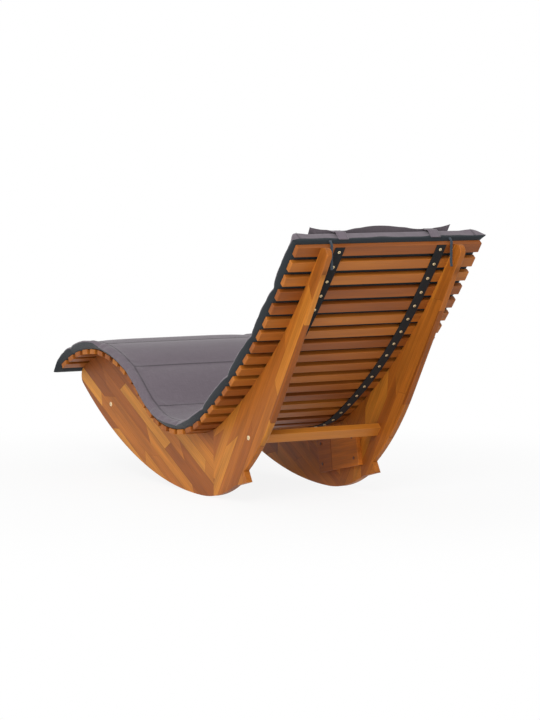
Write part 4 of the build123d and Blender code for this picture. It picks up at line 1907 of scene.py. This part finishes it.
@dataclass
class Fasteners:
    """Webbing, screws and bolts: the solids stay, and the heads get dark marks of painted shade for their
    recesses, in metres.

    The cross is the length, width and thickness of a screw's recess, and the socket is the radius
    and thickness of a bolt's.
    """

    bed: Bed
    webbing_x: float = 0.165
    webbing_depth: float = 0.0021
    webbing_head: float = 0.0022
    bolt_x: float = 0.226
    bolt_head: float = 0.0026
    bolt_spots: tuple[Pair, ...] = ((-0.538, 0.217), (0.349, 0.200))
    gusset_face: float = 0.193
    gusset_head: float = 0.0022
    gusset_middle: Pair = (0.144, 0.116)
    gusset_reach: Pair = (0.092, 0.031)
    gusset_tilt: float = 12.0
    cross: tuple[float, float, float] = (0.0048, 0.0011, 0.0003)
    socket: Pair = (0.0026, 0.0003)

    def dress(self) -> None:
        """Gives the metal and the webbing their finishes."""
        screw = SCREW_PLATING.material()
        bolt = BOLT_PLATING.material()
        band = WEBBING_WEAVE.material()
        for side in Side:
            paint_node(f"{side.word}_webbing", band)
            paint_node(f"{side.word}_webbing_screws", screw)
            paint_node(f"{side.word}_slat_screws", screw)
        paint_node("gusset_screws", SCREW_BROWNING.material())
        paint_node("rail_bolts", bolt)
        paint_node("barrel_nuts", bolt)
        LOG.info("fasteners and webbing dressed")

    def webbing_spots(self) -> Aimed:
        """Top of each webbing screw's head, and the way it faces."""
        deep = self.webbing_depth + self.webbing_head
        spots = []
        for side in Side:
            x = Vector((side.value * self.webbing_x, 0.0, 0.0))
            spots += [(seat.middle + x - seat.up * deep, -seat.up) for seat in self.bed.seats]
        return spots

    def gusset_spots(self) -> Aimed:
        """Top of each gusset screw's head, and the way it faces."""
        lean, rise = cos(radians(self.gusset_tilt)), sin(radians(self.gusset_tilt))
        long, wide = self.gusset_reach
        spots = []
        for side in Side:
            x = side.value * (self.gusset_face - self.gusset_head)
            for u, v in ((-long, -wide), (-long, wide), (long, -wide), (long, wide)):
                y = self.gusset_middle[0] + u * lean - v * rise + self.bed.shift
                z = self.gusset_middle[1] + u * rise + v * lean
                spots.append((Vector((x, y, z)), Vector((-side.value, 0.0, 0.0))))
        return spots

    def bolt_places(self) -> Aimed:
        """Top of each bolt's head, and the way it faces."""
        spots = []
        for side in Side:
            x = side.value * (self.bolt_x + self.bolt_head)
            for y, z in self.bolt_spots:
                spots.append((Vector((x, y + self.bed.shift, z)), Vector((side.value, 0.0, 0.0))))
        return spots

    def build(self) -> None:
        """Makes the painted-shade recesses of the screws and bolts."""
        screws = aimed_points("screw_points", self.webbing_spots() + self.gusset_spots())
        bolts = aimed_points("bolt_points", self.bolt_places())
        crosses = cross_recess(*self.cross).build("screw_recesses", screws, RECESS_SHADOW.material())
        sockets = hex_recess(*self.socket).build("bolt_recesses", bolts, SOCKET_SHADOW.material())
        for piece, slot in ((crosses, "screw_metal"), (sockets, "bolt_metal")):
            piece.data.shade_flat()
            fix(piece, "lounger", slot)


@dataclass(frozen=True)
class Lamp:
    """Square soft light.

    Args:
        name: Its name.
        place: Where it is.
        size: Its width, in metres.
        power: Its power, in watts.
    """

    name: str
    place: Place
    size: float
    power: float

    def build(self, aim: Place) -> None:
        """Puts the light into the scene, turned to a point."""
        light = bpy.data.lights.new(self.name, "AREA")
        light.size = self.size
        light.energy = self.power
        lamp = bpy.data.objects.new(self.name, light)
        lamp.location = self.place
        lamp.rotation_euler = (Vector(aim) - Vector(self.place)).to_track_quat("-Z", "Y").to_euler()
        bpy.context.scene.collection.objects.link(lamp)


@dataclass
class Studio:
    """Camera, lights, floor and background.

    The eye is in the bed curve's own Y, so the shift is added to it. The sky is the background's
    light on the object. The glow is how white the floor is near the object, and the fade is the
    squared distances between which it turns all white.
    """

    shift: float
    eye: Place = (4.0047, 7.1100, 1.1057)
    heading: float = 29.65
    tilt: float = 5.03
    lens: float = 136.0
    sensor: float = 36.0
    farthest: float = 200.0
    lamps: tuple[Lamp, ...] = (
        Lamp("key_light", (3.3, 4.8, 3.7), size=2.6, power=215.0),
        Lamp("fill_light", (5.2, 1.0, 1.9), size=3.0, power=30.0),
        Lamp("low_light", (2.2, 5.6, 1.0), size=2.0, power=12.0),
    )
    aim: Place = (0.0, 0.1, 0.35)
    sky: float = 0.6
    floor_half: float = 30.0
    floor_colour: Colour = (0.93, 0.93, 0.93)
    white: Colour = (1.0, 1.0, 1.0)
    glow: float = 0.88
    fade: Pair = (0.5, 3.2)

    def build(self) -> None:
        """Makes the whole studio."""
        self.camera()
        for lamp in self.lamps:
            lamp.build(self.aim)
        self.world()
        self.floor()

    def camera(self) -> None:
        """Puts the camera where the photograph was taken from."""
        lens = bpy.data.cameras.new("camera")
        lens.lens = self.lens
        lens.sensor_width = self.sensor
        lens.sensor_fit = "AUTO"
        lens.clip_end = self.farthest
        view = bpy.data.objects.new("camera", lens)
        turn, tilt = radians(self.heading), radians(self.tilt)
        way = Vector((-sin(turn) * cos(tilt), -cos(turn) * cos(tilt), -sin(tilt)))
        view.location = Vector(self.eye) + Vector((0.0, self.shift, 0.0))
        view.rotation_euler = way.to_track_quat("-Z", "Y").to_euler()
        bpy.context.scene.collection.objects.link(view)
        bpy.context.scene.camera = view

    @staticmethod
    def seen(nodes: Nodes) -> Wire:
        """1 for rays that show the background, and 0 for those that only carry light."""
        rays = nodes.make("ShaderNodeLightPath").outputs
        words = ("Is Camera Ray", "Is Glossy Ray", "Is Transmission Ray")
        camera, glossy, through = (Wire(nodes, rays[word]) for word in words)
        return camera.most(glossy).most(through)

    def world(self) -> None:
        """White background, with less light from it on the object."""
        scene = bpy.context.scene
        scene.world = bpy.data.worlds.new("studio")
        scene.world.use_nodes = True
        nodes = Nodes(scene.world.node_tree)
        strength = self.seen(nodes) * (1.0 - self.sky) + self.sky
        sky = nodes.make("ShaderNodeBackground", None, {"Color": self.white, "Strength": strength})
        nodes.make("ShaderNodeOutputWorld", None, {"Surface": sky.outputs[0]})
        scene.view_settings.view_transform = "Standard"

    def floor(self) -> None:
        """Pale floor that keeps the lounger's shadow and fades into the background."""
        half = self.floor_half
        mesh = bpy.data.meshes.new("floor")
        corners = [(-half, -half, 0.0), (half, -half, 0.0), (half, half, 0.0), (-half, half, 0.0)]
        mesh.from_pydata(corners, [], [(0, 1, 2, 3)])
        floor = plain_object("floor", mesh)
        paint = Material("pale_floor")
        x, y, _ = paint.axes(paint.place())
        far = (x * x + y * y).step(*self.fade) * (1.0 - self.glow) + self.glow
        pale = paint.make("ShaderNodeBsdfDiffuse", None, {"Color": self.floor_colour})
        white = paint.make("ShaderNodeEmission", None, {"Color": self.white, "Strength": 1.0})
        sockets = {0: far * self.seen(paint), 1: pale.outputs[0], 2: white.outputs[0]}
        both = paint.make("ShaderNodeMixShader", None, sockets)
        paint.make("ShaderNodeOutputMaterial", None, {"Surface": both.outputs[0]})
        mesh.materials.append(paint.material)


def main() -> None:
    """Builds the lounger around the CAD frame."""
    logging.basicConfig(level=logging.INFO, format="%(name)s: %(message)s")
    lowest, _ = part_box("left_front_board")
    bed = Bed(lowest.y)
    Studio(bed.shift).build()
    Woodwork(bed.slat_count).dress()
    fasteners = Fasteners(bed)
    fasteners.dress()
    fasteners.build()
    thread = PAD_THREAD.material()
    cover = PILLOW_COVER.material()
    pad = Pad(bed)
    pad.build(thread)
    pillow = Pillow(bed)
    pillow.build(cover)
    HeadStraps(pad, pillow).build(cover, thread)
    TieTapes(bed).build()


if __name__ == "__main__":
    main()
